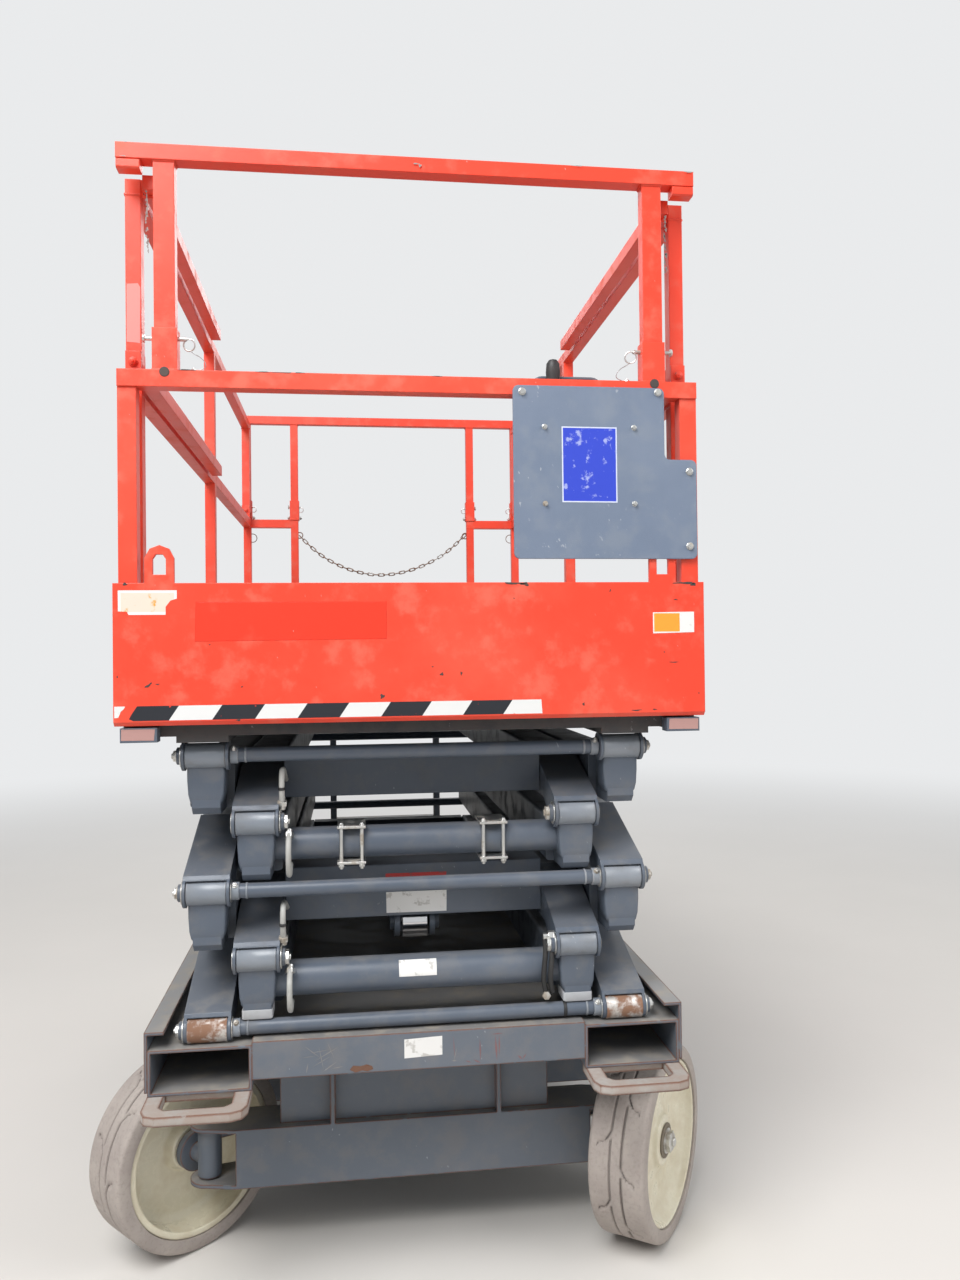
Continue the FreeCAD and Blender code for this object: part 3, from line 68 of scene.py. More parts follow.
# Camera. It stands at breast height in front of the steered wheels and looks level, a little to
# the right, as the photograph does.
EYE = np.array([-0.132, -3.093, 1.329])
YAW, TILT, ROLL = np.radians([7.356, 0.579, -0.620])
SENSOR_MM, FOCAL_PIXELS, FRAME_PIXELS = 36, 986.96, 1280  # the frame's long side
ahead = np.array([math.sin(YAW) * math.cos(TILT), math.cos(YAW) * math.cos(TILT), math.sin(TILT)])
level = np.array([math.cos(YAW), -math.sin(YAW), 0.0])
above = np.cross(level, ahead)
right = level * math.cos(ROLL) + above * math.sin(ROLL)
up = -level * math.sin(ROLL) + above * math.cos(ROLL)
camera_data = bpy.data.cameras.new("camera")
camera_data.sensor_width = SENSOR_MM
camera_data.lens = SENSOR_MM * FOCAL_PIXELS / FRAME_PIXELS
camera = bpy.data.objects.new("camera", camera_data)
scene.collection.objects.link(camera)
axes = np.stack([right, up, -ahead], 1)
camera.matrix_world = Matrix([[*row, place] for row, place in zip(axes, EYE)] + [[0, 0, 0, 1]])
scene.camera = camera


# Studio. A pale floor, a pale surround and three broad soft lamps, none of them part of the lift.
def link(tree, value, socket):
    """Join an output to an input, or set the input where the value is plain."""
    if isinstance(value, bpy.types.NodeSocket):
        tree.links.new(value, socket)
    elif hasattr(socket.default_value, "__len__") and not hasattr(value, "__len__"):
        socket.default_value = (value, value, value, 1)[: len(socket.default_value)]
    elif hasattr(value, "__len__") and len(value) == 3 and len(socket.default_value) == 4:
        socket.default_value = (*value, 1)
    else:
        socket.default_value = value


def node(tree, kind, settings=None, **inputs):
    """A shader node with its settings and its inputs by name, or by number as i0, i1."""
    made = tree.nodes.new("ShaderNode" + kind)
    for key, value in (settings or {}).items():
        setattr(made, key, value)
    for key, value in inputs.items():
        numbered = key[0] == "i" and key[1:].isdigit()
        link(tree, value, made.inputs[int(key[1:]) if numbered else key.replace("_", " ")])
    return made


def maths(tree, operation, *values, clamp=False):
    """A sum on one value."""
    inputs = {f"i{number}": value for number, value in enumerate(values)}
    return node(tree, "Math", {"operation": operation, "use_clamp": clamp}, **inputs).outputs[0]


def times(tree, first, second):
    """Their product."""
    return maths(tree, "MULTIPLY", first, second)


def mixed(tree, share, first, second):
    """Colour between two by a share."""
    made = tree.nodes.new("ShaderNodeMix")
    made.data_type = "RGBA"
    for index, value in ((0, share), (6, first), (7, second)):
        link(tree, value, made.inputs[index])
    return made.outputs[2]


def ramp(tree, value, low, high):
    """0 below low, 1 above high, smooth between."""
    smooth = {"interpolation_type": "SMOOTHSTEP"}
    return node(tree, "MapRange", smooth, Value=value, From_Min=low, From_Max=high).outputs[0]


def object_place(tree):
    """The place on the piece, in its own coordinates."""
    return node(tree, "TexCoord").outputs["Object"]


def noise(tree, place, scale, detail, roughness=0.5):
    """Cloudy noise from 0 to 1."""
    made = node(tree, "TexNoise", None, Vector=place, Scale=scale, Detail=detail, Roughness=roughness)
    return made.outputs["Fac"]


def fresh_material(name):
    """A new material, its node tree and its shader."""
    material = bpy.data.materials.new(name)
    material.use_nodes = True
    return material, material.node_tree, material.node_tree.nodes["Principled BSDF"]


BACKDROP, HAZE_FROM, HAZE_TO, FLOOR_HALF = (0.82, 0.83, 0.84), 2.2, 9.0, 14
floor_paint, tree, floor_shader = fresh_material("studio_floor")
here = object_place(tree)
mottle = noise(tree, here, 1.3, 6)
link(tree, mixed(tree, mottle, (0.70, 0.67, 0.635), (0.64, 0.615, 0.58)), floor_shader.inputs["Base Color"])
floor_shader.inputs["Roughness"].default_value = 0.85
away = node(tree, "VectorMath", {"operation": "LENGTH"}, i0=here).outputs["Value"]
faded = times(tree, ramp(tree, away, HAZE_FROM, HAZE_TO), node(tree, "LightPath").outputs["Is Camera Ray"])
haze = node(tree, "Emission", None, Color=BACKDROP, Strength=1.0)
laid = node(tree, "MixShader", None, i0=faded, i1=floor_shader.outputs[0], i2=haze.outputs[0])
tree.links.new(laid.outputs[0], tree.nodes["Material Output"].inputs["Surface"])
corners = [(FLOOR_HALF * x, FLOOR_HALF * y, 0) for x, y in ((-1, -1), (1, -1), (1, 1), (-1, 1))]
floor_mesh = bpy.data.meshes.new("studio_floor")
floor_mesh.from_pydata(corners, [], [(0, 1, 2, 3)])
floor_mesh.materials.append(floor_paint)
floor = bpy.data.objects.new("studio_floor", floor_mesh)
scene.collection.objects.link(floor)
floor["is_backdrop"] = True

world = bpy.data.worlds.new("studio")
scene.world = world
world.use_nodes = True
tree = world.node_tree
lit = tree.nodes["Background"]
lit.inputs["Color"].default_value = (0.94, 0.97, 1.0, 1)
lit.inputs["Strength"].default_value = 0.42
seen = node(tree, "Background", None, Color=BACKDROP, Strength=1.0)
ray = node(tree, "LightPath")
mirrored = times(tree, ray.outputs["Is Glossy Ray"], 0.6)
looks = maths(tree, "MAXIMUM", ray.outputs["Is Camera Ray"], mirrored)
shown = node(tree, "MixShader", None, i0=looks, i1=lit.outputs[0], i2=seen.outputs[0])
tree.links.new(shown.outputs[0], tree.nodes["World Output"].inputs["Surface"])
# place, target, width, power
LAMPS = [
    ((-2.2, -4.0, 5.6), (0, -0.4, 0.9), 3.4, 430),
    ((4.6, -3.4, 3.6), (0, 0, 0.9), 3.0, 110),
    ((0.8, 4.4, 5.2), (0, 0, 1.2), 3.4, 110),
]
for number, (place, target, width, power) in enumerate(LAMPS):
    lamp_data = bpy.data.lights.new(f"studio_lamp_{number}", "AREA")
    lamp_data.size = width
    lamp_data.energy = power
    lamp = bpy.data.objects.new(lamp_data.name, lamp_data)
    scene.collection.objects.link(lamp)
    lamp.location = place
    lamp.rotation_euler = (Vector(target) - Vector(place)).to_track_quat("-Z", "Y").to_euler()


# Paint and how it has worn. The whole lift is welded steel, sprayed in orange and blue-grey
# enamel that has rubbed through at the edges, faded in patches and taken scratches and dust.
def plus(tree, first, second, clamp=False):
    """Their sum."""
    return maths(tree, "ADD", first, second, clamp=clamp)


def less(tree, first, second):
    """The first less the second."""
    return maths(tree, "SUBTRACT", first, second)


def effect(name, ins, outs):
    """An empty shader node group: its inputs and outputs are pairs of name and kind."""
    group = bpy.data.node_groups.new(name, "ShaderNodeTree")
    for direction, sockets in (("INPUT", ins), ("OUTPUT", outs)):
        for label, kind, *start in sockets:
            socket = group.interface.new_socket(label, in_out=direction, socket_type="NodeSocket" + kind)
            if start:
                socket.default_value = start[0]
    return group, group.nodes.new("NodeGroupInput").outputs, group.nodes.new("NodeGroupOutput").inputs


worn_edges, given, wanted = effect(
    "worn_edges", [("Radius", "Float", 0.003), ("Wear", "Float", 0.5), ("Scale", "Float", 30.0)],
    [("Mask", "Float"), ("Normal", "Vector")],
)
tree = worn_edges
soft = node(tree, "Bevel", {"samples": 6}, Radius=given["Radius"])
flat = node(tree, "NewGeometry").outputs["Normal"]
turn = node(tree, "VectorMath", {"operation": "DOT_PRODUCT"}, i0=soft.outputs[0], i1=flat).outputs["Value"]
bend = ramp(tree, less(tree, 1.0, turn), 0.01, 0.12)
place = object_place(tree)
broken = noise(tree, place, given["Scale"], 5, 0.7)
limit = less(tree, 0.78, times(tree, given["Wear"], 0.42))
gaps = ramp(tree, broken, limit, plus(tree, limit, 0.06))
tree.links.new(times(tree, bend, gaps), wanted["Mask"])
tree.links.new(soft.outputs[0], wanted["Normal"])

blotches, given, wanted = effect(
    "blotches", [("Scale", "Float", 3.0), ("Share", "Float", 0.5), ("Softness", "Float", 0.2)],
    [("Mask", "Float")],
)
tree = blotches
place = object_place(tree)
cloud = noise(tree, place, given["Scale"], 7, 0.62)
centre = less(tree, 0.75, times(tree, given["Share"], 0.5))
low = less(tree, centre, given["Softness"])
high = plus(tree, centre, given["Softness"])
tree.links.new(ramp(tree, cloud, low, high), wanted["Mask"])

scratches, given, wanted = effect(
    "scratches", [("Density", "Float", 0.5), ("Slant", "Vector")], [("Mask", "Float")],
)
tree = scratches
place = object_place(tree)
leant = node(tree, "Mapping", None, Vector=place, Rotation=given["Slant"]).outputs[0]
drawn = node(tree, "VectorMath", {"operation": "MULTIPLY"}, i0=leant, i1=(150.0, 150.0, 5.0)).outputs[0]
lines = noise(tree, drawn, 1.0, 2)
places = noise(tree, place, 7.0, 3)
rare = less(tree, 0.80, times(tree, given["Density"], 0.14))
thin = ramp(tree, lines, rare, plus(tree, rare, 0.03))
tree.links.new(times(tree, thin, ramp(tree, places, 0.50, 0.60)), wanted["Mask"])


def blotched(tree, scale, share, softness):
    """The blotches' mask, placed in a material."""
    made = node(tree, "Group", {"node_tree": blotches}, Scale=scale, Share=share, Softness=softness)
    return made.outputs[0]


def bumped(tree, shader, height, strength, distance, normal=None):
    """A fine relief on the shader's normal, over the eased edges' normal where there is one."""
    given = {} if normal is None else {"Normal": normal}
    made = node(tree, "Bump", None, Strength=strength, Distance=distance, Height=height, **given)
    link(tree, made.outputs[0], shader.inputs["Normal"])


FADE_SCALE, DIRT_SCALE, PEEL_SCALE, SCRATCH_SLANT = 2.2, 19.0, 420.0, (0.5, 0.3, 0.2)


def enamel(
    name, paint, faded, bare, dust, wear=0.5, rough=0.38, scratch=0.5, dirt=0.35, radius=0.0025, fade=0.35,
    settled=0.0,
):
    """Sprayed enamel: fades in blotches, is rubbed to the bare colour at the edges, is scratched and
    holds dust, most of it on faces that look up where some has settled."""
    material, tree, shader = fresh_material(name)
    edges = node(tree, "Group", {"node_tree": worn_edges}, Radius=radius, Wear=wear)
    wide = blotched(tree, FADE_SCALE, fade, 0.16)
    fine = blotched(tree, DIRT_SCALE, dirt, 0.12)
    lines = node(tree, "Group", {"node_tree": scratches}, Density=scratch, Slant=SCRATCH_SLANT)
    marks = lines.outputs[0]
    colour = mixed(tree, wide, paint, faded)
    colour = mixed(tree, times(tree, fine, 0.35), colour, dust)
    colour = mixed(tree, times(tree, marks, 0.55), colour, [0.5 * (a + 0.75) for a in paint])
    if settled:
        level = node(tree, "SeparateXYZ", None, i0=node(tree, "NewGeometry").outputs["Normal"]).outputs["Z"]
        film = plus(tree, settled * 0.55, times(tree, fine, settled * 0.45))
        colour = mixed(tree, times(tree, ramp(tree, level, 0.80, 0.97), film), colour, SETTLED_DUST)
    rubbed = edges.outputs["Mask"]
    colour = mixed(tree, rubbed, colour, bare)
    link(tree, colour, shader.inputs["Base Color"])
    uneven = plus(tree, rough, times(tree, fine, 0.25))
    link(tree, plus(tree, uneven, times(tree, rubbed, 0.25), clamp=True), shader.inputs["Roughness"])
    peel = noise(tree, object_place(tree), PEEL_SCALE, 2)
    height = less(tree, peel, times(tree, rubbed, 1.5))
    bumped(tree, shader, height, 0.25, 0.0006, edges.outputs["Normal"])
    shader.inputs["Specular IOR Level"].default_value = 0.5
    return material


ORANGE, ORANGE_FADED, ORANGE_DEEP = (0.80, 0.056, 0.024), (0.83, 0.090, 0.048), (0.86, 0.040, 0.015)
BLUE_GREY, BLUE_GREY_FADED = (0.085, 0.105, 0.138), (0.115, 0.135, 0.168)
CHASSIS_GREY, CHASSIS_FADED = (0.110, 0.130, 0.160), (0.135, 0.152, 0.180)
RUST, STEEL_DARK, SETTLED_DUST = (0.17, 0.070, 0.038), (0.045, 0.040, 0.038), (0.36, 0.32, 0.27)
orange = enamel(
    "orange_enamel", ORANGE, ORANGE_FADED, STEEL_DARK, (0.70, 0.20, 0.13), wear=0.35, rough=0.36,
    scratch=0.35, dirt=0.3,
)
grey = enamel(
    "blue_grey_enamel", BLUE_GREY, BLUE_GREY_FADED, (0.24, 0.22, 0.21), (0.17, 0.165, 0.16), wear=0.4,
    rough=0.34, dirt=0.35, settled=0.22,
)
chassis_grey = enamel(
    "chassis_enamel", CHASSIS_GREY, CHASSIS_FADED, RUST, (0.21, 0.195, 0.185), wear=1.0, rough=0.42, dirt=0.4,
    scratch=0.6, radius=0.0055, settled=0.75,
)
board_grey = enamel(
    "board_enamel", (0.150, 0.19, 0.265), (0.18, 0.22, 0.295), (0.4, 0.4, 0.4), (0.22, 0.25, 0.29), wear=0.3,
    rough=0.42, scratch=0.9,
)
# Near-black deck enamel: the deck's own dark paint, made darker as painted shade for the underside, which lies in
# shadow.
deck_dark_and_shade = enamel(
    "deck_dark_shade_enamel", (0.030, 0.032, 0.036), (0.048, 0.048, 0.050), RUST, (0.13, 0.12, 0.11), wear=0.5,
    rough=0.6, dirt=0.6, scratch=1.0,
)
cream = enamel(
    "rim_enamel", (0.72, 0.67, 0.52), (0.77, 0.73, 0.60), (0.42, 0.33, 0.22), (0.52, 0.43, 0.29), wear=0.25,
    rough=0.26, dirt=0.45, scratch=0.2,
)
rusty = enamel(
    "rusty_steel", (0.36, 0.335, 0.31), (0.45, 0.42, 0.39), (0.19, 0.078, 0.045), (0.33, 0.20, 0.14),
    wear=1.15, rough=0.62, dirt=0.6, radius=0.009,
)
black_plastic = enamel(
    "black_housing", (0.018, 0.018, 0.020), (0.03, 0.03, 0.03), (0.06, 0.06, 0.06), (0.10, 0.095, 0.09),
    wear=0.2, rough=0.5, radius=0.004,
)


def metal(name, colour, rough, stain, stain_colour):
    """Bare or plated steel with fine turning marks and some staining."""
    material, tree, shader = fresh_material(name)
    spots = blotched(tree, 26.0, stain, 0.08)
    link(tree, mixed(tree, spots, colour, stain_colour), shader.inputs["Base Color"])
    link(tree, less(tree, 1.0, times(tree, spots, 0.85)), shader.inputs["Metallic"])
    link(tree, plus(tree, rough, times(tree, spots, 0.35)), shader.inputs["Roughness"])
    edges = node(tree, "Group", {"node_tree": worn_edges}, Radius=0.001)
    grain = noise(tree, object_place(tree), 700.0, 2)
    bumped(tree, shader, grain, 0.2, 0.0003, edges.outputs["Normal"])
    return material


zinc = metal("zinc_plate", (0.62, 0.62, 0.60), 0.34, 0.35, (0.33, 0.29, 0.24))
chrome = metal("hard_chrome", (0.78, 0.78, 0.79), 0.12, 0.12, (0.5, 0.48, 0.45))
bare_steel = metal("bare_steel", (0.45, 0.43, 0.41), 0.42, 0.6, (0.20, 0.11, 0.07))
rubbed_steel = metal("rubbed_steel", (0.66, 0.63, 0.60), 0.46, 0.62, (0.25, 0.135, 0.085))

FINISHES = {
    "orange": orange, "dark": grey, "board": board_grey, "deck": deck_dark_and_shade, "steel": bare_steel,
    "rim": cream, "rod": chrome, "block": black_plastic, "box": black_plastic, "tyre": black_plastic,
}
CHASSIS_NODES = {
    "fork_pockets", "side_plates", "chassis_deck", "front_axle", "rear_axle", "battery_tray",
    "hydraulic_tray", "knuckle_left", "knuckle_right", "ladder_stiles", "ladder_steps",
}
slots = {row["node"]: row["material_slot"] for row in frame["record"]["subparts"]}
special = {name: chassis_grey for name in CHASSIS_NODES} | {"tie_down_lugs": rusty}
for name, part in frame["nodes"].items():
    finish = special.get(name) or FINISHES[slots[name]]
    part.data.materials.clear()
    part.data.materials.append(finish)
    part.data.polygons.foreach_set("material_index", np.zeros(len(part.data.polygons), np.int32))


# Solid tyres. Grey non-marking rubber moulded on a steel rim: two kinked grooves run round the
# tread and a short slanted sipe leaves each kink towards the shoulder.
def grid_quads(rows, columns, wrap_rows=True):
    """Quads between neighbouring lines of a grid that is numbered row by row and closes round its columns."""
    i, j = np.arange(rows if wrap_rows else rows - 1)[:, None], np.arange(columns)[None]
    over, along = (i + 1) % rows, (j + 1) % columns
    corners = [i * columns + j, i * columns + along, over * columns + along, over * columns + j]
    return np.stack(corners, -1).reshape(-1, 4)


def volume(points, quads, caps):
    """Six times the enclosed volume: the sum of a . (b x c) over the triangles of every face."""
    centred = points - points.mean(0)
    a, b, c, d = (centred[quads[:, k]] for k in range(4))
    total = np.einsum("ij,ij", a, np.cross(b, c)) + np.einsum("ij,ij", a, np.cross(c, d))
    for cap in caps:
        fan = centred[cap]
        total += np.einsum("ij,ij", np.repeat(fan[:1], len(cap) - 2, 0), np.cross(fan[1:-1], fan[2:]))
    return total


def piece(name, parts, finish, body, angle=35):
    """One object of several closed parts, each points, quads and end polygons, turned to face
    outwards; smooth under the angle; it rides on a body."""
    points, faces, start = [], [], 0
    for part_points, quads, caps in parts:
        part_points = np.asarray(part_points, float).reshape(-1, 3)
        caps = [np.asarray(cap) for cap in caps]
        if volume(part_points, quads, caps) < 0:
            quads, caps = quads[:, ::-1], [cap[::-1] for cap in caps]
        points.append(part_points)
        faces += (quads + start).tolist() + [(cap + start).tolist() for cap in caps]
        start += len(part_points)
    mesh = bpy.data.meshes.new(name)
    mesh.from_pydata(np.concatenate(points).tolist(), [], faces)
    mesh.update()
    mesh.polygons.foreach_set("use_smooth", np.ones(len(mesh.polygons), bool))
    mesh.set_sharp_from_angle(angle=math.radians(angle))
    mesh.materials.append(finish)
    made = bpy.data.objects.new(name, mesh)
    scene.collection.objects.link(made)
    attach(made, body)
    return made


def set_at(part, place, axis, flat=(0, 0, 1)):
    """Turn a part whose axis is Z to point along axis, its X square to flat, and move it to its place."""
    points, quads, caps = part
    z = np.asarray(axis, float) / np.linalg.norm(axis)
    helper = np.asarray(flat, float) if abs(np.dot(z, flat)) < 0.95 else np.array([1.0, 0, 0])
    x = np.cross(helper, z)
    x /= np.linalg.norm(x)
    return np.asarray(points) @ np.stack([x, np.cross(z, x), z]) + np.asarray(place), quads, caps


def ring_part(section, count, radius=None):
    """Closed section (along, outward) turned about Z: point(a, i) = (out_i cos a, out_i sin a, along_i).
    radius(a, section) may put its own outward distances in."""
    a = np.linspace(0, 2 * math.pi, count, endpoint=False)[:, None]
    along, out = section[:, 0][None], section[:, 1][None]
    out = np.broadcast_to(out if radius is None else radius(a, along, out), (count, len(section)))
    points = np.stack([out * np.cos(a), out * np.sin(a), np.broadcast_to(along, out.shape)], -1)
    return points.reshape(-1, 3), grid_quads(count, len(section)), []


TYRE_RADIUS, TYRE_HALF, BEAD_RADIUS, SHOULDER, BULGE = 0.208, 0.063, 0.1772, 0.009, 0.0012
KINKS, KINK_RUN, KINK_SHARE, GROOVE_X, KINK_X = 9, 0.145, 0.14, 0.013, 0.011
GROOVE_DEPTH, GROOVE_HALF, GROOVE_WALL, SIPE_SLANT, SIPE_LENGTH = 0.0045, 0.0021, 1.6, 0.45, 0.019
flank, crown = TYRE_HALF - SHOULDER, TYRE_RADIUS - SHOULDER
tread_x = np.linspace(-flank, flank, 86)
a = np.linspace(0, math.pi / 2, 6)
right_shoulder = np.stack([flank + SHOULDER * np.sin(a), crown + SHOULDER * np.cos(a)], 1)[1:]
down = np.linspace(0, 1, 7)[1:, None]
right_wall = np.concatenate(
    [TYRE_HALF + BULGE * np.sin(math.pi * down), crown - down * (crown - BEAD_RADIUS)], 1,
)
half = np.concatenate([right_shoulder, right_wall])
tread = np.stack([tread_x, np.full_like(tread_x, TYRE_RADIUS)], 1)
tyre_section = np.concatenate([tread, half, half[::-1] * [-1, 1]])


def tread_radius(a, along, out):
    """Outward distance less the grooves: a groove's line is side x (GROOVE_X + KINK_X ramp(p)), with p
    the share of a kink's period, and a sipe leaves each kink for the shoulder at a slant."""
    depth = np.zeros((len(a), along.shape[1]))
    for side, shift in ((-1, 0.0), (1, 0.5)):
        p = (KINKS * a / (2 * math.pi) + shift) % 1
        kink = np.clip((p - (1 - KINK_SHARE)) / KINK_SHARE, 0, 1)
        line = side * (GROOVE_X + KINK_X * kink)
        depth = np.maximum(depth, np.clip(GROOVE_WALL - np.abs(along - line) / GROOVE_HALF, 0, 1))
        reach = side * along - (GROOVE_X + KINK_X)
        sipe = np.abs((p - 0.005) * KINK_RUN - SIPE_SLANT * reach) / (GROOVE_HALF * 1.5)
        inside = (reach > -0.001) & (reach < SIPE_LENGTH)
        depth = np.maximum(depth, np.clip(GROOVE_WALL - sipe, 0, 1) * inside)
    return out - GROOVE_DEPTH * depth * (out > TYRE_RADIUS - 0.0005)


rubber, tree, shader = fresh_material("grey_rubber")
place = object_place(tree)
scuffed = blotched(tree, 9.0, 0.5, 0.2)
grit = blotched(tree, 120.0, 0.35, 0.1)
# Ambient occlusion darkens the rubber's colour in the grooves and creases: painted shade.
groove_shade = node(tree, "AmbientOcclusion", {"samples": 6, "only_local": True}, Distance=0.006).outputs["AO"]
colour = mixed(tree, scuffed, (0.33, 0.285, 0.26), (0.42, 0.37, 0.335))
colour = mixed(tree, times(tree, grit, 0.3), colour, (0.20, 0.18, 0.165))
colour = mixed(tree, ramp(tree, groove_shade, 0.45, 0.8), (0.085, 0.075, 0.07), colour)
link(tree, colour, shader.inputs["Base Color"])
link(tree, plus(tree, 0.68, times(tree, scuffed, 0.15)), shader.inputs["Roughness"])
grain = noise(tree, place, 260.0, 4)
bumped(tree, shader, grain, 0.3, 0.0008)


# Rims. Cream enamelled steel discs, dished inwards from the lip, with a bored hub; each is held
# by a nut on its axle's end, and a dark ring round the nut is painted shade for the gap about the hub.
RIM_SECTION = 0.001 * np.array(
    [
        (-59, 161), (-59, 176.8), (59, 176.8), (59.5, 170), (53, 168), (44, 164), (32, 150), (26, 125),
        (24, 100), (27, 74), (33, 58), (44, 53), (45, 30), (45, 20.4), (-12, 20.4), (-12, 46), (12, 58),
        (12, 100), (16, 150), (10, 165), (-49, 165),
    ]
)


def lofted(rings):
    """A closed solid through rings of equal count: quads between neighbours, a polygon on each end."""
    rings = np.asarray(rings, float)
    rows, count = rings.shape[:2]
    end = np.arange(count)
    quads = grid_quads(rows, count, wrap_rows=False)
    return rings.reshape(-1, 3), quads, [end[::-1], end + (rows - 1) * count]


def eased(section, cut, steps=4):
    """Closed outline with rounded corners, each a quadratic curve between points a cut away on its sides."""
    before, after = np.roll(section, 1, 0) - section, np.roll(section, -1, 0) - section
    lengths = [np.linalg.norm(v, axis=1, keepdims=True) for v in (before, after)]
    start = section + before / lengths[0] * np.minimum(cut, lengths[0] * 0.45)
    end = section + after / lengths[1] * np.minimum(cut, lengths[1] * 0.45)
    t = np.linspace(0, 1, steps)[None, :, None]
    curve = (1 - t) ** 2 * start[:, None] + 2 * t * (1 - t) * section[:, None] + t**2 * end[:, None]
    return curve.reshape(-1, 2)


def turned(profile, count=32, sides=0, flats=()):
    """Turned solid about Z with closed ends: point(a, i) = (r_i cos a, r_i sin a, h_i). Rows in flats are
    a polygon of that many sides, r / cos(a mod (2 pi / sides) - pi / sides)."""
    profile = np.asarray(profile, float)
    a = np.linspace(0, 2 * math.pi, count, endpoint=False)[None]
    r = np.repeat(profile[:, :1], count, 1)
    if sides:
        step = 2 * math.pi / sides
        r[list(flats)] = r[list(flats)] / np.cos(a % step - step / 2)
    return lofted(np.stack([r * np.cos(a), r * np.sin(a), np.repeat(profile[:, 1:], count, 1)], -1))


def nut(across, height, washer):
    """A hexagon nut with a chamfer on a round washer, its seat at 0."""
    r = across / 2
    return [
        turned([(washer, 0), (washer, height * 0.16)], 24),
        turned([(r, height * 0.16), (r, height * 0.86), (r * 0.93, height)], 24, 6, (0, 1)),
        turned([(r * 0.52, height * 0.5), (r * 0.52, height * 1.3), (r * 0.46, height * 1.4)], 16),
    ]


# Dark brown enamel for the ring round each hub nut: painted shade for the gap about the hub.
hub_gap_shade = enamel(
    "hub_gap_shade_paint", (0.15, 0.125, 0.095), (0.09, 0.075, 0.06), (0.06, 0.05, 0.045), (0.30, 0.26, 0.20), dirt=0.7,
    rough=0.7,
)
joints = {row["name"]: row for row in frame["joints"]}
HUB_FACE = 0.0485
for end, side in (("front_left", -1), ("front_right", 1), ("rear_left", -1), ("rear_right", 1)):
    joint = joints["roll_" + end]
    centre, out = np.array(joint["pos_m"]), side * np.array(joint["axis"])
    wheel = "wheel_" + end
    solid = set_at(ring_part(tyre_section, 252, tread_radius), centre, out)
    tyre = piece(f"tyre_tread_{end}", [solid], rubber, wheel, angle=50)
    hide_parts("tyre_" + end)
    dish = set_at(ring_part(eased(RIM_SECTION, 0.004), 96), centre, out)
    rim = piece(f"rim_dished_{end}", [dish], cream, wheel, angle=50)
    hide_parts("rim_" + end)
    # A dark ring round the nut: painted shade for the gap about the hub.
    dirt = turned([(0.0355, 0.0445), (0.0375, 0.046), (0.0375, 0.0475), (0.030, HUB_FACE)], 40)
    piece(f"hub_shade_ring_{end}", [set_at(dirt, centre, out)], hub_gap_shade, wheel)
    hub = [set_at(part, centre + HUB_FACE * out, out) for part in nut(0.040, 0.014, 0.027)]
    piece(f"hub_nut_{end}", hub, zinc, wheel)


# Front panel dress. A strip of black and white tape along the foot, torn near its left end, two
# blank stickers, a darker patch of newer paint, and chips through to dark steel.
def leaf(outline, face, lift=0.0003, thick=0.0002):
    """A thin leaf just before the plane y = face: its outline (across, up) at two depths."""
    across, height = np.asarray(outline, float).T
    return lofted([np.stack([across, 0 * across + y, height], 1) for y in (face - lift, face - lift + thick)])


def decal(name, outline, finish, body, face, lift=0.0004):
    """A flat sheet 0.3 mm thick, cut to an outline and stuck on."""
    return piece(name, [leaf(outline, face, lift, 0.0003)], finish, body)


def flakes_on(name, table, face, finish, body, count=12):
    """Thin irregular flakes on a plane that faces forwards, stretched and leant:
    r(a) = 1 + 0.28 sin(3 a + 700 x) + 0.16 sin(5 a + 900 z).
    Rows are across, up, half width, half height and slant in degrees, if any."""
    x, z, half_x, half_z, *slant = np.asarray(table, float).T[:, :, None]
    a = np.linspace(0, 2 * math.pi, count, endpoint=False)[None]
    r = 1 + 0.28 * np.sin(3 * a + 700 * x) + 0.16 * np.sin(5 * a + 900 * z)
    wide, high = half_x * r * np.cos(a), half_z * r * np.sin(a)
    c, s = (np.cos(np.radians(slant[0])), np.sin(np.radians(slant[0]))) if slant else (1, 0)
    outlines = np.stack([x + wide * c - high * s, z + wide * s + high * c], -1)
    return piece(name, [leaf(outline, face) for outline in outlines], finish, body)


PANEL_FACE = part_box("front_panel")[0].y
TAPE_LOW, TAPE_HIGH, TAPE_END = 1.2005, 1.2285, 0.245
TAPE_PERIOD, TAPE_LEAN, STRIPES_FROM = 0.162, 0.019, -0.523
tape, tree, shader = fresh_material("warning_tape")
axes = node(tree, "SeparateXYZ", None, i0=object_place(tree))
rise = times(tree, less(tree, axes.outputs["Z"], TAPE_LOW), TAPE_LEAN / (TAPE_HIGH - TAPE_LOW))
turns = maths(tree, "DIVIDE", less(tree, less(tree, axes.outputs["X"], rise), STRIPES_FROM), TAPE_PERIOD)
band = ramp(tree, maths(tree, "PINGPONG", turns, 0.5), 0.248, 0.252)
worn = blotched(tree, 60.0, 0.1, 0.02)
colour = mixed(tree, band, (0.012, 0.014, 0.02), (0.72, 0.72, 0.71))
link(tree, mixed(tree, worn, colour, ORANGE), shader.inputs["Base Color"])
shader.inputs["Roughness"].default_value = 0.45
torn = [
    (-0.583, 1.2285), (-0.583, 1.2065), (-0.576, 1.207), (-0.571, 1.219), (-0.566, 1.223), (-0.563, 1.2285),
]
decal("tape_scrap", torn, tape, "extension", PANEL_FACE)
strip = [
    (-0.548, TAPE_LOW), (TAPE_END, TAPE_LOW), (TAPE_END - 0.002, TAPE_HIGH), (-0.541, TAPE_HIGH),
    (-0.546, 1.221), (-0.552, 1.212), (-0.556, 1.204),
]
decal("warning_tape_strip", strip, tape, "extension", PANEL_FACE)


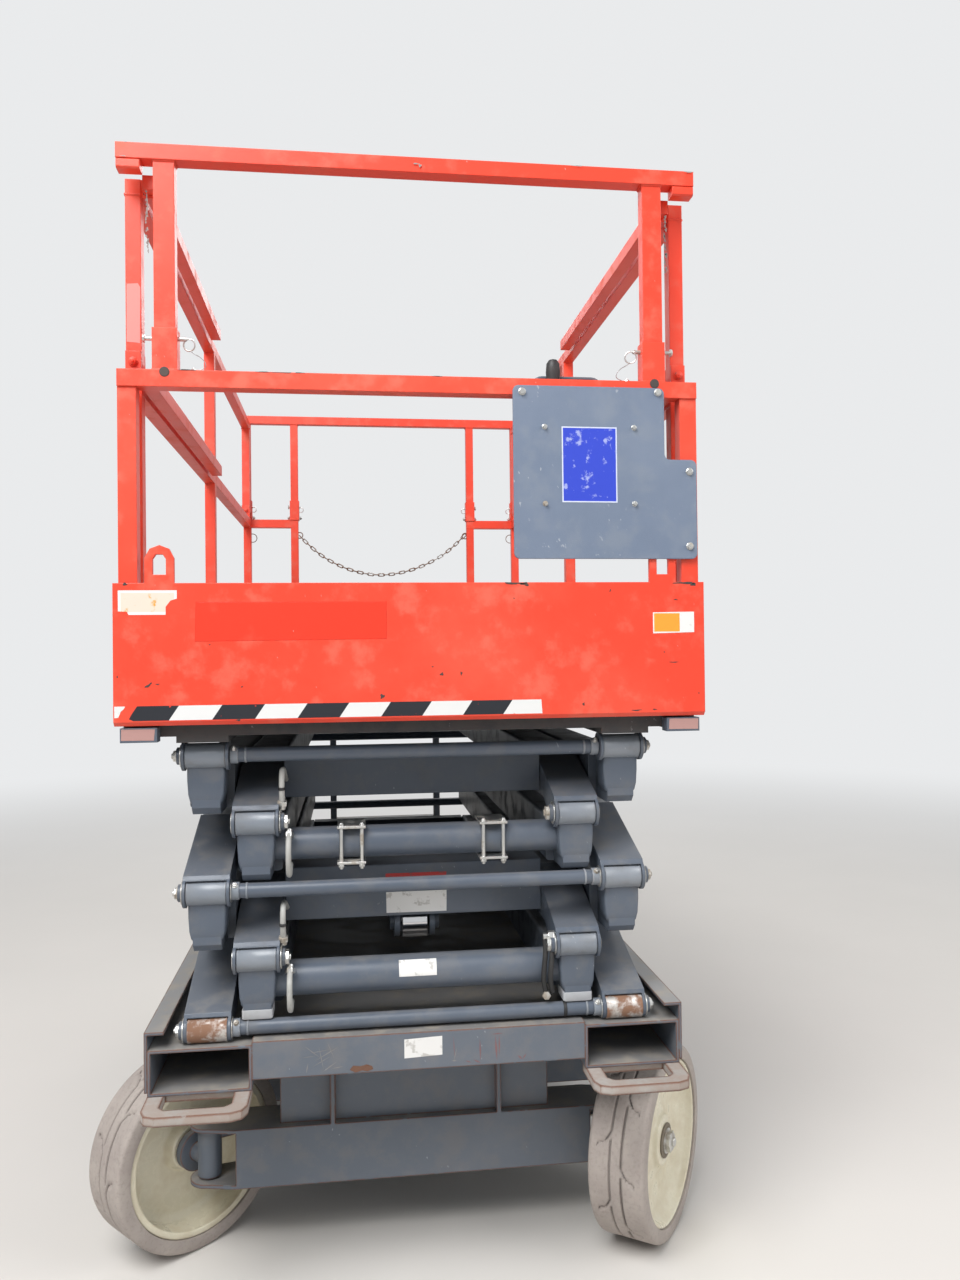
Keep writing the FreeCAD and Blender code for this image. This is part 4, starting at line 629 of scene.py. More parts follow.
def sheet_finish(
    name, colour, other=None, edge=(0.5, 0.48, 0.45), split=0.0, across="X", border=None, rough=0.5,
    wear=0.25,
):
    """Vinyl in one colour, or in two that meet at a place along an axis, with worn spots. A border is
    its rectangle (low and high across, low and high up), its width and its colour."""
    material, tree, shader = fresh_material(name)
    place = node(tree, "SeparateXYZ", None, i0=object_place(tree))
    shade = colour
    if other is not None:
        shade = mixed(tree, ramp(tree, place.outputs[across], split - 0.0003, split + 0.0003), colour, other)
    if border is not None:
        x0, x1, z0, z1, width, rim_colour = border
        x, z = place.outputs["X"], place.outputs["Z"]
        inset = less(tree, x, x0)
        for gap in (less(tree, x1, x), less(tree, z, z0), less(tree, z1, z)):
            inset = maths(tree, "MINIMUM", inset, gap)
        shade = mixed(tree, ramp(tree, inset, width - 0.0005, width + 0.0005), rim_colour, shade)
    spots = blotched(tree, 42.0, wear, 0.04)
    shade = mixed(tree, times(tree, spots, 0.7), shade, edge)
    link(tree, shade, shader.inputs["Base Color"])
    shader.inputs["Roughness"].default_value = rough
    return material


WHITE, AMBER = (0.76, 0.75, 0.73), (0.82, 0.33, 0.03)
left_label = [
    (-0.575, 1.450), (-0.466, 1.450), (-0.466, 1.434), (-0.478, 1.430), (-0.487, 1.418), (-0.487, 1.403),
    (-0.556, 1.403), (-0.558, 1.409), (-0.575, 1.410),
]
torn_label = sheet_finish(
    "torn_label", AMBER, border=(-0.574, -0.467, 1.4045, 1.449, 0.004, WHITE), edge=WHITE, wear=0.75,
)
decal("label_left", left_label, torn_label, "extension", PANEL_FACE)
right_label = [(0.4766, 1.359), (0.5636, 1.361), (0.5636, 1.403), (0.4766, 1.402)]
split_label = sheet_finish(
    "amber_white_label", AMBER, WHITE, split=0.533, border=(0.4766, 0.5636, 1.360, 1.4025, 0.0025, WHITE),
    wear=0.12,
)
decal("label_right", right_label, split_label, "extension", PANEL_FACE)

newer = enamel(
    "newer_orange", ORANGE_DEEP, (0.87, 0.06, 0.022), STEEL_DARK, (0.80, 0.10, 0.05), wear=0.0, rough=0.33,
    scratch=0.3, dirt=0.1, fade=0.2,
)
patch = [(-0.433, 1.351), (-0.065, 1.353), (-0.065, 1.4265), (-0.431, 1.4275)]
decal("repainted_patch", patch, newer, "extension", PANEL_FACE, 0.0002)

# across, up, half width, half height, slant in degrees
CHIPS = [
    (-0.520, 1.268, 0.008, 0.0022, 35), (-0.503, 1.270, 0.0035, 0.0012, 0),
    (-0.405, 1.345, 0.0012, 0.0012, 0), (-0.345, 1.263, 0.002, 0.0012, 20), (0.190, 1.462, 0.020, 0.0020, 0),
    (0.212, 1.4605, 0.009, 0.0032, -8), (0.545, 1.462, 0.022, 0.0022, 0), (0.563, 1.459, 0.006, 0.0030, 12),
    (-0.562, 1.462, 0.004, 0.0030, 0), (0.500, 1.321, 0.0013, 0.0013, 0), (0.520, 1.300, 0.0090, 0.0009, 0),
    (0.572, 1.236, 0.0012, 0.0012, 0), (-0.075, 1.240, 0.0042, 0.0042, 50),
    (0.043, 1.282, 0.0035, 0.0028, 20), (0.082, 1.283, 0.0018, 0.0036, 0), (0.025, 1.297, 0.0016, 0.0014, 0),
    (0.330, 1.2175, 0.0022, 0.0030, 0), (0.440, 1.203, 0.010, 0.0013, 2), (0.478, 1.204, 0.004, 0.0012, 0),
    (-0.352, 1.1985, 0.004, 0.0018, 0), (0.525, 1.428, 0.004, 0.0011, 0), (0.388, 1.447, 0.0010, 0.0030, -20),
    (0.190, 1.432, 0.0014, 0.0010, 0), (-0.577, 1.285, 0.0014, 0.0018, 0),
]
chipped = enamel(
    "chipped_steel", STEEL_DARK, (0.08, 0.05, 0.04), (0.1, 0.08, 0.07), (0.16, 0.09, 0.06), rough=0.6,
)
flakes_on("panel_chips", CHIPS, PANEL_FACE, chipped, "extension", count=14)


# Notice board dress. Eight plated screws hold the grey steel sheet and the backing behind it; the
# printed sheet in its middle is left blank blue with its white border.
BOARD_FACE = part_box("notice_board")[0].y
# across, up, head radius, hexagon across flats
SCREWS = [
    (0.210, 1.847, 0.0078, 0.012), (0.491, 1.851, 0.0078, 0.012), (0.556, 1.690, 0.0078, 0.012),
    (0.555, 1.537, 0.0078, 0.012), (0.255, 1.777, 0.0056, 0.008), (0.440, 1.778, 0.0056, 0.008),
    (0.255, 1.622, 0.0056, 0.008), (0.440, 1.623, 0.0056, 0.008),
]
heads = []
for across, height, washer, flats in SCREWS:
    screw = nut(flats, 0.0055, washer)[:2]
    heads += [set_at(part, (across, BOARD_FACE, height), (0, -1, 0)) for part in screw]
piece("board_screws", heads, zinc, "extension")
left, right, foot, top = SHEET = (0.290, 0.404, 1.625, 1.778)
pale_border = (*SHEET, 0.0025, (0.62, 0.66, 0.80))
blue = sheet_finish(
    "blank_blue_sheet", (0.025, 0.055, 0.52), border=pale_border, edge=(0.45, 0.5, 0.75), wear=0.3,
)
decal(
    "board_sheet", [(left, foot), (right, foot), (right, top), (left, top)], blue, "extension",
    BOARD_FACE,
)


# Entry chain. Welded steel links, each turned a quarter from the last, hang between rings on the
# two entry posts.
CHAIN_Y = 1.055
CHAIN_ROUTE = [
    (-0.345, 1.810), (-0.290, 1.752), (-0.215, 1.700), (-0.120, 1.660), (-0.010, 1.643), (0.110, 1.663),
    (0.215, 1.708), (0.292, 1.762), (0.345, 1.818),
]


def nurbs_route(name, route):
    """A NURBS curve object with the route's points as its control points."""
    curve = bpy.data.curves.new(name, "CURVE")
    curve.dimensions = "3D"
    spline = curve.splines.new("NURBS")
    spline.points.add(len(route) - 1)
    weighted = np.column_stack([np.asarray(route, float), np.ones(len(route))])
    spline.points.foreach_set("co", weighted.ravel())
    spline.use_endpoint_u = True
    spline.order_u = 3
    spline.resolution_u = 16
    made = bpy.data.objects.new(name, curve)
    scene.collection.objects.link(made)
    return made


def route_points(route):
    """The points of the route's smooth line, and how far along it each one lies."""
    guide = nurbs_route("route_guide", route)
    line = bpy.data.meshes.new_from_object(guide.evaluated_get(bpy.context.evaluated_depsgraph_get()))
    points = np.zeros(len(line.vertices) * 3)
    line.vertices.foreach_get("co", points)
    points = points.reshape(-1, 3)
    bpy.data.meshes.remove(line)
    bpy.data.objects.remove(guide)
    run = np.concatenate([[0], np.cumsum(np.linalg.norm(np.diff(points, axis=0), axis=1))])
    return points, run


def carried(path, section, closed=False):
    """A section (sideways, upward) carried along a path, its frame at each point turned least from the
    last: point(i, j) = path_i + s_j side_i + u_j up_i."""
    path = np.asarray(path, float)
    ahead = np.roll(path, -1, 0) - np.roll(path, 1, 0) if closed else np.gradient(path, axis=0)
    ahead /= np.linalg.norm(ahead, axis=1, keepdims=True)
    first = np.cross(ahead[0], (0, 0, 1) if abs(ahead[0][2]) < 0.9 else (0, 1, 0))
    sides = [first / np.linalg.norm(first)]
    for direction in ahead[1:]:
        side = sides[-1] - direction * (sides[-1] @ direction)
        sides.append(side / np.linalg.norm(side))
    sides = np.array(sides)
    ups = np.cross(sides, ahead)
    section = np.asarray(section, float)
    points = path[:, None] + sides[:, None] * section[None, :, :1] + ups[:, None] * section[None, :, 1:]
    count = len(section)
    caps = [] if closed else [np.arange(count), (np.arange(count) + (len(path) - 1) * count)[::-1]]
    return points.reshape(-1, 3), grid_quads(len(path), count, wrap_rows=closed)[:, ::-1], caps


def round_section(radius, count=8):
    """A circle as a section."""
    a = np.linspace(0, 2 * math.pi, count, endpoint=False)
    return radius * np.stack([np.cos(a), np.sin(a)], 1)


LINK_PITCH, LINK_WIRE, LINK_BEND, LINK_STRAIGHT = 0.0215, 0.0021, 0.0052, 0.0080
points, run = route_points([(x, CHAIN_Y, z) for x, z in CHAIN_ROUTE])
link_count = int(run[-1] // LINK_PITCH)
stations = (np.arange(link_count) + 0.5) * run[-1] / link_count
before, centres, after = (
    np.stack([np.interp(stations + step, run, points[:, k]) for k in range(3)], 1)
    for step in (-0.004, 0, 0.004)
)
forward = after - before
forward /= np.linalg.norm(forward, axis=1, keepdims=True)
a = np.linspace(0, 2 * math.pi, 14, endpoint=False)
oval = np.stack([np.cos(a) * LINK_BEND + np.sign(np.cos(a)) * LINK_STRAIGHT, np.sin(a) * LINK_BEND], 1)
links = []
for number, (centre, direction) in enumerate(zip(centres, forward)):
    across = np.cross(direction, (0, 1, 0)) if number % 2 else np.array([0, 1.0, 0])
    loop = centre + oval[:, :1] * direction + oval[:, 1:] * across
    links.append(carried(loop, round_section(LINK_WIRE, 6), closed=True))
chain = piece("entry_chain_links", links, bare_steel, "platform", angle=60)
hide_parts("entry_chain")


# Scissor pins and necks. Ground steel pins with washers and a nut join the arms. Each upper boss
# shows between the ears as a paler sleeve over its cast neck, partly rubbed and partly a painted highlight; the
# lowest ones have rusted.
LEVEL, STAGE_RISE, FRONT, REAR = 0.575, 0.137, -1.052, 0.928
INNER_ARM, OUTER_ARM, HALF_ARM, PIN_REACH = 0.329, 0.426, 0.046, 0.0102
# bore, outside, start and end along the pin
PIN_WASHER, FORK_WASHER = (0.0170, 0.0238, 0.0003, 0.0034), (0.0150, 0.0225, 0.0003, 0.0026)
CROSSING_RING = (0.0195, 0.030, -0.0088, -0.0052)
TOP_PIN = (0.472, FRONT, 1.123)
ROWS = {"outer": "inner", "inner": "outer"}
STAGES = [(1, "outer"), (2, "inner"), (3, "outer"), (4, "inner")]
# A lighter copy of the blue-grey enamel for the sleeves and tie collars: partly rubbed wear, partly a painted
# highlight.
sheen_and_wear_grey = enamel(
    "sleeve_sheen_enamel", (0.20, 0.225, 0.26), (0.27, 0.29, 0.32), (0.40, 0.39, 0.38), (0.16, 0.15, 0.14),
    wear=0.8, rough=0.30, dirt=0.3,
)
nylon = enamel(
    "pale_nylon", (0.40, 0.41, 0.43), (0.46, 0.47, 0.48), (0.5, 0.5, 0.5), (0.30, 0.28, 0.26), wear=0.2,
    rough=0.5,
)


def collar(place, axis, inner, outer, start, end, ease=0.0008, count=32):
    """A ring with eased edges on a shaft: the closed section (along, outward) turned about the shaft."""
    half = [(start, inner), (start, outer - ease), (start + ease, outer)]
    section = half + [(start + end - along, out) for along, out in half[::-1]]
    return set_at(ring_part(np.array(section), count), place, axis)


def sleeve(place, half, radius):
    """A boss between two ears: a tube with a raised lip at each end."""
    lip = radius + 0.0006
    section = [(-half, radius - 0.004), (-half, lip), (-half + 0.003, lip), (-half + 0.004, radius)]
    section += [(-x, r) for x, r in section[::-1]]
    return set_at(ring_part(np.array(section), 40), place, (1, 0, 0))


def bolt(place, axis, across, height, washer):
    """A hexagon head on a washer, standing on a face."""
    return [set_at(part, place, axis) for part in nut(across, height, washer)]


# depth below the pin, half width, how far the face stands back
NECK_ROWS = [
    (0.008, 0.0370, 0), (0.050, 0.0368, 0), (0.078, 0.0350, 0), (0.092, 0.0320, 0.002),
    (0.100, 0.0265, 0.005), (0.103, 0.0200, 0.009),
]
NECK_FACE, NECK_DEPTH, NECK_ROUND = 0.0095, 0.060, 0.005


def neck_casting(x, y, z, toward, table=NECK_ROWS):
    """The cast neck under a boss: oblongs of half width w(d) at depths d below the pin, drawn in at the
    foot, each corner a quarter circle round (sx (w - r), sy (depth / 2 - r - back))."""
    a = (np.linspace(0, math.pi / 2, 4) + np.arange(4)[:, None] * math.pi / 2).ravel()
    sx, sy = np.repeat([1, -1, -1, 1], 4), np.repeat([1, 1, -1, -1], 4)
    centre = y + toward * (NECK_FACE - NECK_DEPTH / 2)
    rows = []
    for depth, half, back in table:
        across = sx * (half - NECK_ROUND) + NECK_ROUND * np.cos(a)
        along = sy * (NECK_DEPTH / 2 - NECK_ROUND - back) + NECK_ROUND * np.sin(a)
        rows.append(np.stack([x + across, centre + along, 0 * a + z - depth], 1))
    return lofted(rows)


for stage, rising_row in STAGES:
    for letter, row, y_low, y_high in (("a", rising_row, FRONT, REAR), ("b", ROWS[rising_row], REAR, FRONT)):
        frame_body = f"frame_{letter}{stage}"
        low_z = LEVEL + STAGE_RISE * (stage - 1)
        middle = OUTER_ARM if row == "outer" else INNER_ARM
        hardware, sleeves = [], []
        for side in (-1, 1):
            head = side if row == "outer" else -side
            x = side * middle
            axis = (head, 0, 0)
            hardware.append(collar((x + head * HALF_ARM, y_low, low_z), axis, *PIN_WASHER))
            hardware.append(collar((x - head * HALF_ARM, y_low, low_z), (-head, 0, 0), *FORK_WASHER))
            across = 0.026 if row == "inner" else 0.021
            hardware += bolt((x + head * (HALF_ARM + PIN_REACH), y_low, low_z), axis, across, 0.008, 0.0155)
            sleeves.append(sleeve((x, y_high, low_z + STAGE_RISE), 0.0388, 0.0254))
            if row == "inner":
                centre = (side * 0.4825, (FRONT + REAR) / 2, low_z + STAGE_RISE / 2)
                hardware.append(collar(centre, (side, 0, 0), *CROSSING_RING))
                hardware += bolt(centre, (side, 0, 0), 0.024, 0.006, 0.0175)
            if frame_body == "frame_a1":
                rust, end = [sleeve((x, y_low, low_z), 0.0385, 0.0252)], "right" if side > 0 else "left"
                piece(f"rusty_sleeve_{end}", rust, rubbed_steel, frame_body)
        if frame_body == "frame_b4":
            for side in (-1, 1):
                x, y, z = TOP_PIN
                hardware.append(collar((side * x, y, z), (side, 0, 0), *PIN_WASHER))
                hardware += bolt((side * (x + PIN_REACH), y, z), (side, 0, 0), 0.021, 0.008, 0.0155)
        piece(f"pin_hardware_{letter}{stage}", hardware, zinc, frame_body)
        piece(f"arm_sleeves_{letter}{stage}", sleeves, sheen_and_wear_grey, frame_body)
        toward = -1 if y_high < 0 else 1
        necks = [neck_casting(side * middle, y_high, low_z + STAGE_RISE, toward) for side in (-1, 1)]
        piece(f"arm_necks_{letter}{stage}", necks, grey, frame_body)


# Tie rods. Round bars join the outer arms; a collar with a small set screw locks each end.
# frame, distance of the rod's line behind the middle, height
TIES = [
    ("a1", FRONT, 0.575), ("b2", REAR, 0.712), ("a3", FRONT, 0.849), ("b4", REAR, 0.986),
    ("b4", FRONT, 1.123),
]
for number, (owner, y, z) in enumerate(TIES):
    toward = -1 if y < 0 else 1
    collars, screws = [], []
    for side in (-1, 1):
        collars.append(collar((side * 0.3625, y, z), (side, 0, 0), 0.0145, 0.0178, 0.0, 0.016))
        collars.append(collar((side * 0.346, y, z), (side, 0, 0), 0.0145, 0.0164, 0.0, 0.004))
        seat = (side * 0.3705, y + toward * 0.0120, z + 0.0130)
        screws += bolt(seat, (0, toward * 0.68, 0.73), 0.009, 0.006, 0.0058)
    piece(f"tie_collars_{number}", collars, sheen_and_wear_grey, f"frame_{owner}")
    piece(f"tie_screws_{number}", screws, zinc, f"frame_{owner}")
band = [collar((0.298, FRONT, 0.575), (1, 0, 0), 0.0146, 0.0166, 0.0, 0.007)]
piece("tie_band", band, black_plastic, "frame_a1")


# Cable clamps. Two U-bolts hold the cable run to the round cross tube of the third stage: studs in
# front of and behind the tube, with a flat bar over and under it.
def extruded(outline, low_x, high_x):
    """An outline (behind, up) carried along X between closed ends."""
    outline = np.asarray(outline, float)
    return lofted([np.column_stack([np.full(len(outline), x), outline]) for x in (low_x, high_x)])


def slab(low, high, ease=0.0012):
    """A flat bar with chamfered long edges: a box's outline with cut corners, carried along X."""
    (x0, y0, z0), (x1, y1, z1) = low, high
    c = min(ease, (y1 - y0) / 3, (z1 - z0) / 3)
    lower = [(y0, z0 + c), (y0 + c, z0), (y1 - c, z0), (y1, z0 + c)]
    upper = [(y1, z1 - c), (y1 - c, z1), (y0 + c, z1), (y0, z1 - c)]
    return extruded(lower + upper, x0, x1)


TUBE_Y, TUBE_Z, TUBE_RADIUS = -1.006, 0.932, 0.033
STUD_GAP, BAR_OVER, BAR_THICK = 0.0065, 0.013, 0.006
front_stud, back_stud = TUBE_Y - TUBE_RADIUS - STUD_GAP, TUBE_Y + TUBE_RADIUS + STUD_GAP
bar_top = 0.0335 + BAR_THICK
long_stud = turned([(0.0036, -0.049), (0.0040, -0.048), (0.0040, 0.044), (0.0034, 0.0455)], 14)
short_stud = turned([(0.0040, -0.039), (0.0040, 0.037)], 14)
clamps = []
for centre in (-0.138, 0.156):
    for x in (centre - 0.021, centre + 0.021):
        clamps.append(set_at(long_stud, (x, front_stud, TUBE_Z), (0, 0, 1)))
        clamps.append(set_at(short_stud, (x, back_stud, TUBE_Z), (0, 0, 1)))
        clamps += bolt((x, front_stud, TUBE_Z - bar_top), (0, 0, -1), 0.011, 0.006, 0.007)
        clamps += bolt((x, front_stud, TUBE_Z + bar_top), (0, 0, 1), 0.010, 0.003, 0.006)
    for z in (TUBE_Z - bar_top, TUBE_Z + bar_top - BAR_THICK):
        low = (centre - 0.029, TUBE_Y - TUBE_RADIUS - BAR_OVER, z)
        clamps.append(slab(low, (centre + 0.029, TUBE_Y + TUBE_RADIUS + BAR_OVER, z + BAR_THICK)))
piece("tube_clamps", clamps, zinc, "frame_b3")


# Rest pads and the tube's label. Pale nylon pads wrap the feet of the lowest necks and carry the
# stowed arms; a blank white label wraps round the lowest cross tube.
PAD_ROWS = [(0.1015, 0.0292, 0), (0.1030, 0.0307, 0), (0.1185, 0.0307, 0), (0.1203, 0.0290, 0.001)]
pads = [neck_casting(side * INNER_ARM, FRONT, LEVEL + STAGE_RISE, -1, PAD_ROWS) for side in (-1, 1)]
piece("rest_pads", pads, nylon, "frame_b1")


def bent_sheet(name, centre, radius, half_width, low_angle, high_angle, finish, body):
    """A label wrapped on a tube along X: its edge runs up the arc (-R cos b, R sin b) and comes back
    down 0.4 mm further out."""
    b = np.linspace(low_angle, high_angle, 14)
    edge = [(-r * np.cos(b) + centre[1], r * np.sin(b) + centre[2]) for r in (radius, radius + 0.0004)]
    outline = np.concatenate([np.stack(edge[0], 1), np.stack(edge[1], 1)[::-1]])
    sheet = extruded(outline, centre[0] - half_width, centre[0] + half_width)
    return piece(name, [sheet], finish, body)


blank_white = sheet_finish("blank_white_label", WHITE, edge=(0.42, 0.40, 0.37), wear=0.3)
blank_red = sheet_finish("blank_red_strip", (0.45, 0.02, 0.02), edge=(0.2, 0.05, 0.05), wear=0.35)
bent_sheet("tube_label", (-0.004, TUBE_Y, 0.655), 0.0362, 0.039, 0.02, 0.98, blank_white, "frame_b1")


# Beam fronts. The front cross beams of the second and fourth stages are deep pressings: a face
# plate stands in front of each beam, the lower one folded back over the lift cylinder's lugs. A
# blank white label and a red strip are stuck to the lower one.
BEAM_HALF, BEAM_FACE = 0.2815, -0.905
fold = [
    (-0.905, 0.746), (-0.905, 0.855), (-0.9035, 0.8585), (-0.900, 0.860), (-0.812, 0.860), (-0.812, 0.854),
    (-0.899, 0.854), (-0.899, 0.746),
]
plate = [(-0.9075, 1.0135), (-0.9075, 1.0955), (-0.9022, 1.0955), (-0.9022, 1.0135)]
piece("beam_front_a2", [extruded(fold, -BEAM_HALF, BEAM_HALF)], grey, "frame_a2")
piece("beam_front_a4", [extruded(plate, -BEAM_HALF, BEAM_HALF)], grey, "frame_a4")
label = [(-0.0635, 0.7525), (0.0690, 0.7515), (0.0695, 0.7990), (-0.0640, 0.8000)]
decal("beam_label", label, blank_white, "frame_a2", BEAM_FACE)
strip = [(-0.0650, 0.8260), (0.0690, 0.8255), (0.0695, 0.8385), (-0.0650, 0.8390)]
decal("beam_strip", strip, blank_red, "frame_a2", BEAM_FACE)


# Hydraulic hoses and cables. Pale hoses hang in short loops at the left ends of the inner arms
# and run back along their inner faces; a dark pair with a plated fitting hangs at the right.
hose_grey = enamel(
    "hose_rubber", (0.42, 0.42, 0.40), (0.50, 0.50, 0.48), (0.3, 0.3, 0.3), (0.24, 0.23, 0.21), wear=0.1,
    rough=0.5, dirt=0.5,
)
hose_black = enamel(
    "black_hose_rubber", (0.014, 0.014, 0.015), (0.02, 0.02, 0.02), (0.05, 0.05, 0.05), (0.08, 0.075, 0.07),
    wear=0.1, rough=0.5, dirt=0.4,
)


def hose(name, body, route, diameter, finish):
    """A hose or wire: a round section on the route's NURBS line, both ends fixed on the lift."""
    made = nurbs_route(name, route)
    made.data.bevel_depth = diameter / 2
    made.data.bevel_resolution = 3
    made.data.use_fill_caps = True
    made.data.materials.append(finish)
    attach(made, body)
    _, length = route_points(route)
    return made


# pivot's height, frame of the arm it climbs, frame of the tube it loops under, lowest point, tube's foot
LOOPS = [(0.986, "a4", "b3", 0.876, 0.895), (0.712, "a2", "b1", 0.602, 0.612)]
CLIMB_X, LOOP_X, HOSE_WIDE = -0.2768, -0.2640, 0.0115
ferrule = [(0.0070, 0), (0.0070, 0.007), (0.0090, 0.0075), (0.0090, 0.017), (0.0066, 0.018), (0.0060, 0.026)]
for pivot, arm, tube, foot, tube_foot in LOOPS:
    climb = [
        (-1.052, 0.036), (-1.060, 0.055), (-1.062, 0.078), (-1.052, 0.100), (-1.022, 0.104), (-0.975, 0.086),
        (-0.935, 0.070),
    ]
    route = [(CLIMB_X, y, pivot + z) for y, z in climb]
    hose(f"hose_climb_{arm}", f"frame_{arm}", route, HOSE_WIDE, hose_grey)
    loop = [
        (-1.056, pivot - 0.025), (-1.068, pivot - 0.044), (-1.074, (pivot + foot) / 2),
        (-1.070, foot + 0.018), (-1.052, foot - 0.002), (-1.026, foot + 0.002), (-1.010, tube_foot - 0.004),
    ]
    hose(f"hose_loop_{tube}", f"frame_{tube}", [(LOOP_X, y, z) for y, z in loop], HOSE_WIDE, hose_grey)
    upper = set_at(turned(ferrule, 24, 6, (2, 3)), (CLIMB_X, -1.0485, pivot + 0.0245), (0, -0.25, 1))
    piece(f"hose_ends_{arm}", [upper], zinc, f"frame_{arm}")
    lower = set_at(turned(ferrule[:5], 24, 6, (2, 3)), (LOOP_X, -1.0470, pivot - 0.0180), (0, -0.55, -1))
    piece(f"hose_ends_{tube}", [lower], zinc, f"frame_{tube}")
    tie = collar((CLIMB_X, -1.0612, pivot + 0.064), (0, -0.05, 1), 0.0058, 0.0072, 0.0, 0.006, count=20)
    piece(f"hose_tie_{arm}", [tie], black_plastic, f"frame_{arm}")
for number, (x, sag) in enumerate(((0.262, 0.0), (0.276, 0.010))):
    out = sag / 3
    run = [
        (x, -1.052, 0.722), (x + 0.001, -1.056, 0.700), (x - 0.004, -1.060 - out, 0.665),
        (x - 0.006, -1.059 - out, 0.635), (x, -1.054, 0.612),
    ]
    hose(f"hose_right_{number}", "frame_b1", run, 0.011, hose_black)
elbow = [(0.0075, 0), (0.0075, 0.010), (0.0100, 0.0105), (0.0100, 0.024), (0.0070, 0.025), (0.0070, 0.034)]
plug = [(0.0055, 0), (0.0055, 0.006), (0.0075, 0.0065), (0.0075, 0.012), (0.0040, 0.013)]
fittings = [
    set_at(turned(elbow, 24, 6, (2, 3)), (0.258, -1.050, 0.727), (1, 0, 0)),
    set_at(turned(plug, 24, 6, (2, 3)), (0.262, -1.052, 0.607), (0, -1, 0)),
]
piece("hose_fittings", fittings, zinc, "frame_b1")


# Front cross member. A blank white label, a scar of scratches with rust in it, and old red chalk
# runs; the top edge, the pocket mouths and the lugs have lost their paint.
MEMBER_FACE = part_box("chassis_deck")[0].y
label = [(-0.036, 0.505), (0.041, 0.508), (0.041, 0.546), (-0.036, 0.543)]
decal("member_label", label, blank_white, "chassis", MEMBER_FACE)
brown = sheet_finish("rust_scab", (0.115, 0.045, 0.024), edge=(0.17, 0.09, 0.06), wear=0.6, rough=0.85)
scab = [
    (-0.146, 0.489), (-0.139, 0.497), (-0.124, 0.495), (-0.112, 0.498), (-0.101, 0.494), (-0.099, 0.488),
    (-0.110, 0.484), (-0.121, 0.4865), (-0.134, 0.483),
]
decal("member_scab", scab, brown, "chassis", MEMBER_FACE)
scraped = sheet_finish("scraped_primer", (0.36, 0.35, 0.34), edge=(0.16, 0.15, 0.15), wear=0.7, rough=0.7)
chalk = sheet_finish("red_chalk", (0.36, 0.085, 0.075), edge=(0.15, 0.13, 0.14), wear=0.95, rough=0.9)


def strokes(name, table, finish, face, body):
    """Thin scratches as flat needles: each row is start across and up, end across and up, half width."""
    table = np.asarray(table, float)
    start, end, half = table[:, :2], table[:, 2:4], table[:, 4:5]
    run = end - start
    side = np.stack([-run[:, 1], run[:, 0]], 1) / np.linalg.norm(run, axis=1, keepdims=True) * half
    middle = (start + end) / 2
    needles = np.stack([start, middle + side, end, middle - side], 1)
    return piece(name, [leaf(needle, face) for needle in needles], finish, body)


SCAR = [
    (-0.234, 0.541, -0.203, 0.516, 0.0009), (-0.226, 0.527, -0.178, 0.533, 0.0007),
    (-0.215, 0.511, -0.165, 0.538, 0.0010), (-0.207, 0.541, -0.197, 0.490, 0.0009),
    (-0.222, 0.498, -0.180, 0.521, 0.0008), (-0.199, 0.489, -0.170, 0.508, 0.0012),
    (-0.240, 0.519, -0.214, 0.521, 0.0006), (-0.190, 0.547, -0.176, 0.514, 0.0007),
    (-0.232, 0.487, -0.228, 0.508, 0.0012), (-0.181, 0.494, -0.158, 0.497, 0.0010),
    (0.064, 0.492, 0.071, 0.521, 0.0009), (0.060, 0.494, 0.070, 0.494, 0.0016),
]
strokes("member_scratches", SCAR, scraped, MEMBER_FACE, "chassis")
CHALK = [
    (0.118, 0.536, 0.119, 0.490, 0.0016), (0.104, 0.494, 0.120, 0.486, 0.0015),
    (0.150, 0.541, 0.153, 0.488, 0.0022), (0.158, 0.542, 0.158, 0.500, 0.0015),
    (0.143, 0.543, 0.166, 0.544, 0.0012), (0.196, 0.497, 0.206, 0.488, 0.0020),
    (0.206, 0.488, 0.214, 0.500, 0.0014), (0.064, 0.545, 0.066, 0.500, 0.0008),
    (0.088, 0.493, 0.100, 0.488, 0.0012),
]
strokes("member_chalk", CHALK, chalk, MEMBER_FACE, "chassis")


# Rail locks. A spring pin with a ring goes through each upper post and its socket, the front ones
# tethered to the rail by a thin wire; painted bolts pin the folding side rails.
def torus(place, axis, radius, wire, count=28):
    """A closed ring of wire: a small circle carried round a large one."""
    a = np.linspace(0, 2 * math.pi, count, endpoint=False)
    loop = np.stack([radius * np.cos(a), radius * np.sin(a), 0 * a], 1)
    points, quads, caps = carried(loop, round_section(wire, 8), closed=True)
    return set_at((points, quads, caps), place, axis)


def pin_through(place, axis, before, after, radius):
    """A plain pin with a small head and a rounded tip, passing from before to after its place."""
    head = [(radius * 1.7, before), (radius * 1.9, before + 0.001), (radius * 1.9, before + 0.004)]
    shank = [(radius, before + 0.0045), (radius, after - 0.002), (radius * 0.6, after)]
    return set_at(turned(head + shank, 16), place, axis)


FRONT_POST, LOCK_Y, LOCK_Z = 0.486, -1.120, 1.940
locks = []
for side in (-1, 1):
    post = side * FRONT_POST
    locks.append(pin_through((post, LOCK_Y, LOCK_Z), (-side, 0, 0), -0.044, 0.040, 0.0042))
    locks.append(torus((post - side * 0.044, LOCK_Y, LOCK_Z - 0.011), (0.25, 1, 0.1), 0.0115, 0.0015))
    anchor = (post - side * 0.052, -1.118, 1.8775)
    locks += bolt(anchor, (0, 0, 1), 0.009, 0.005, 0.0085)
piece("front_rail_locks", locks, zinc, "extension")
wire_steel = metal("tether_wire", (0.40, 0.40, 0.41), 0.4, 0.3, (0.2, 0.18, 0.16))
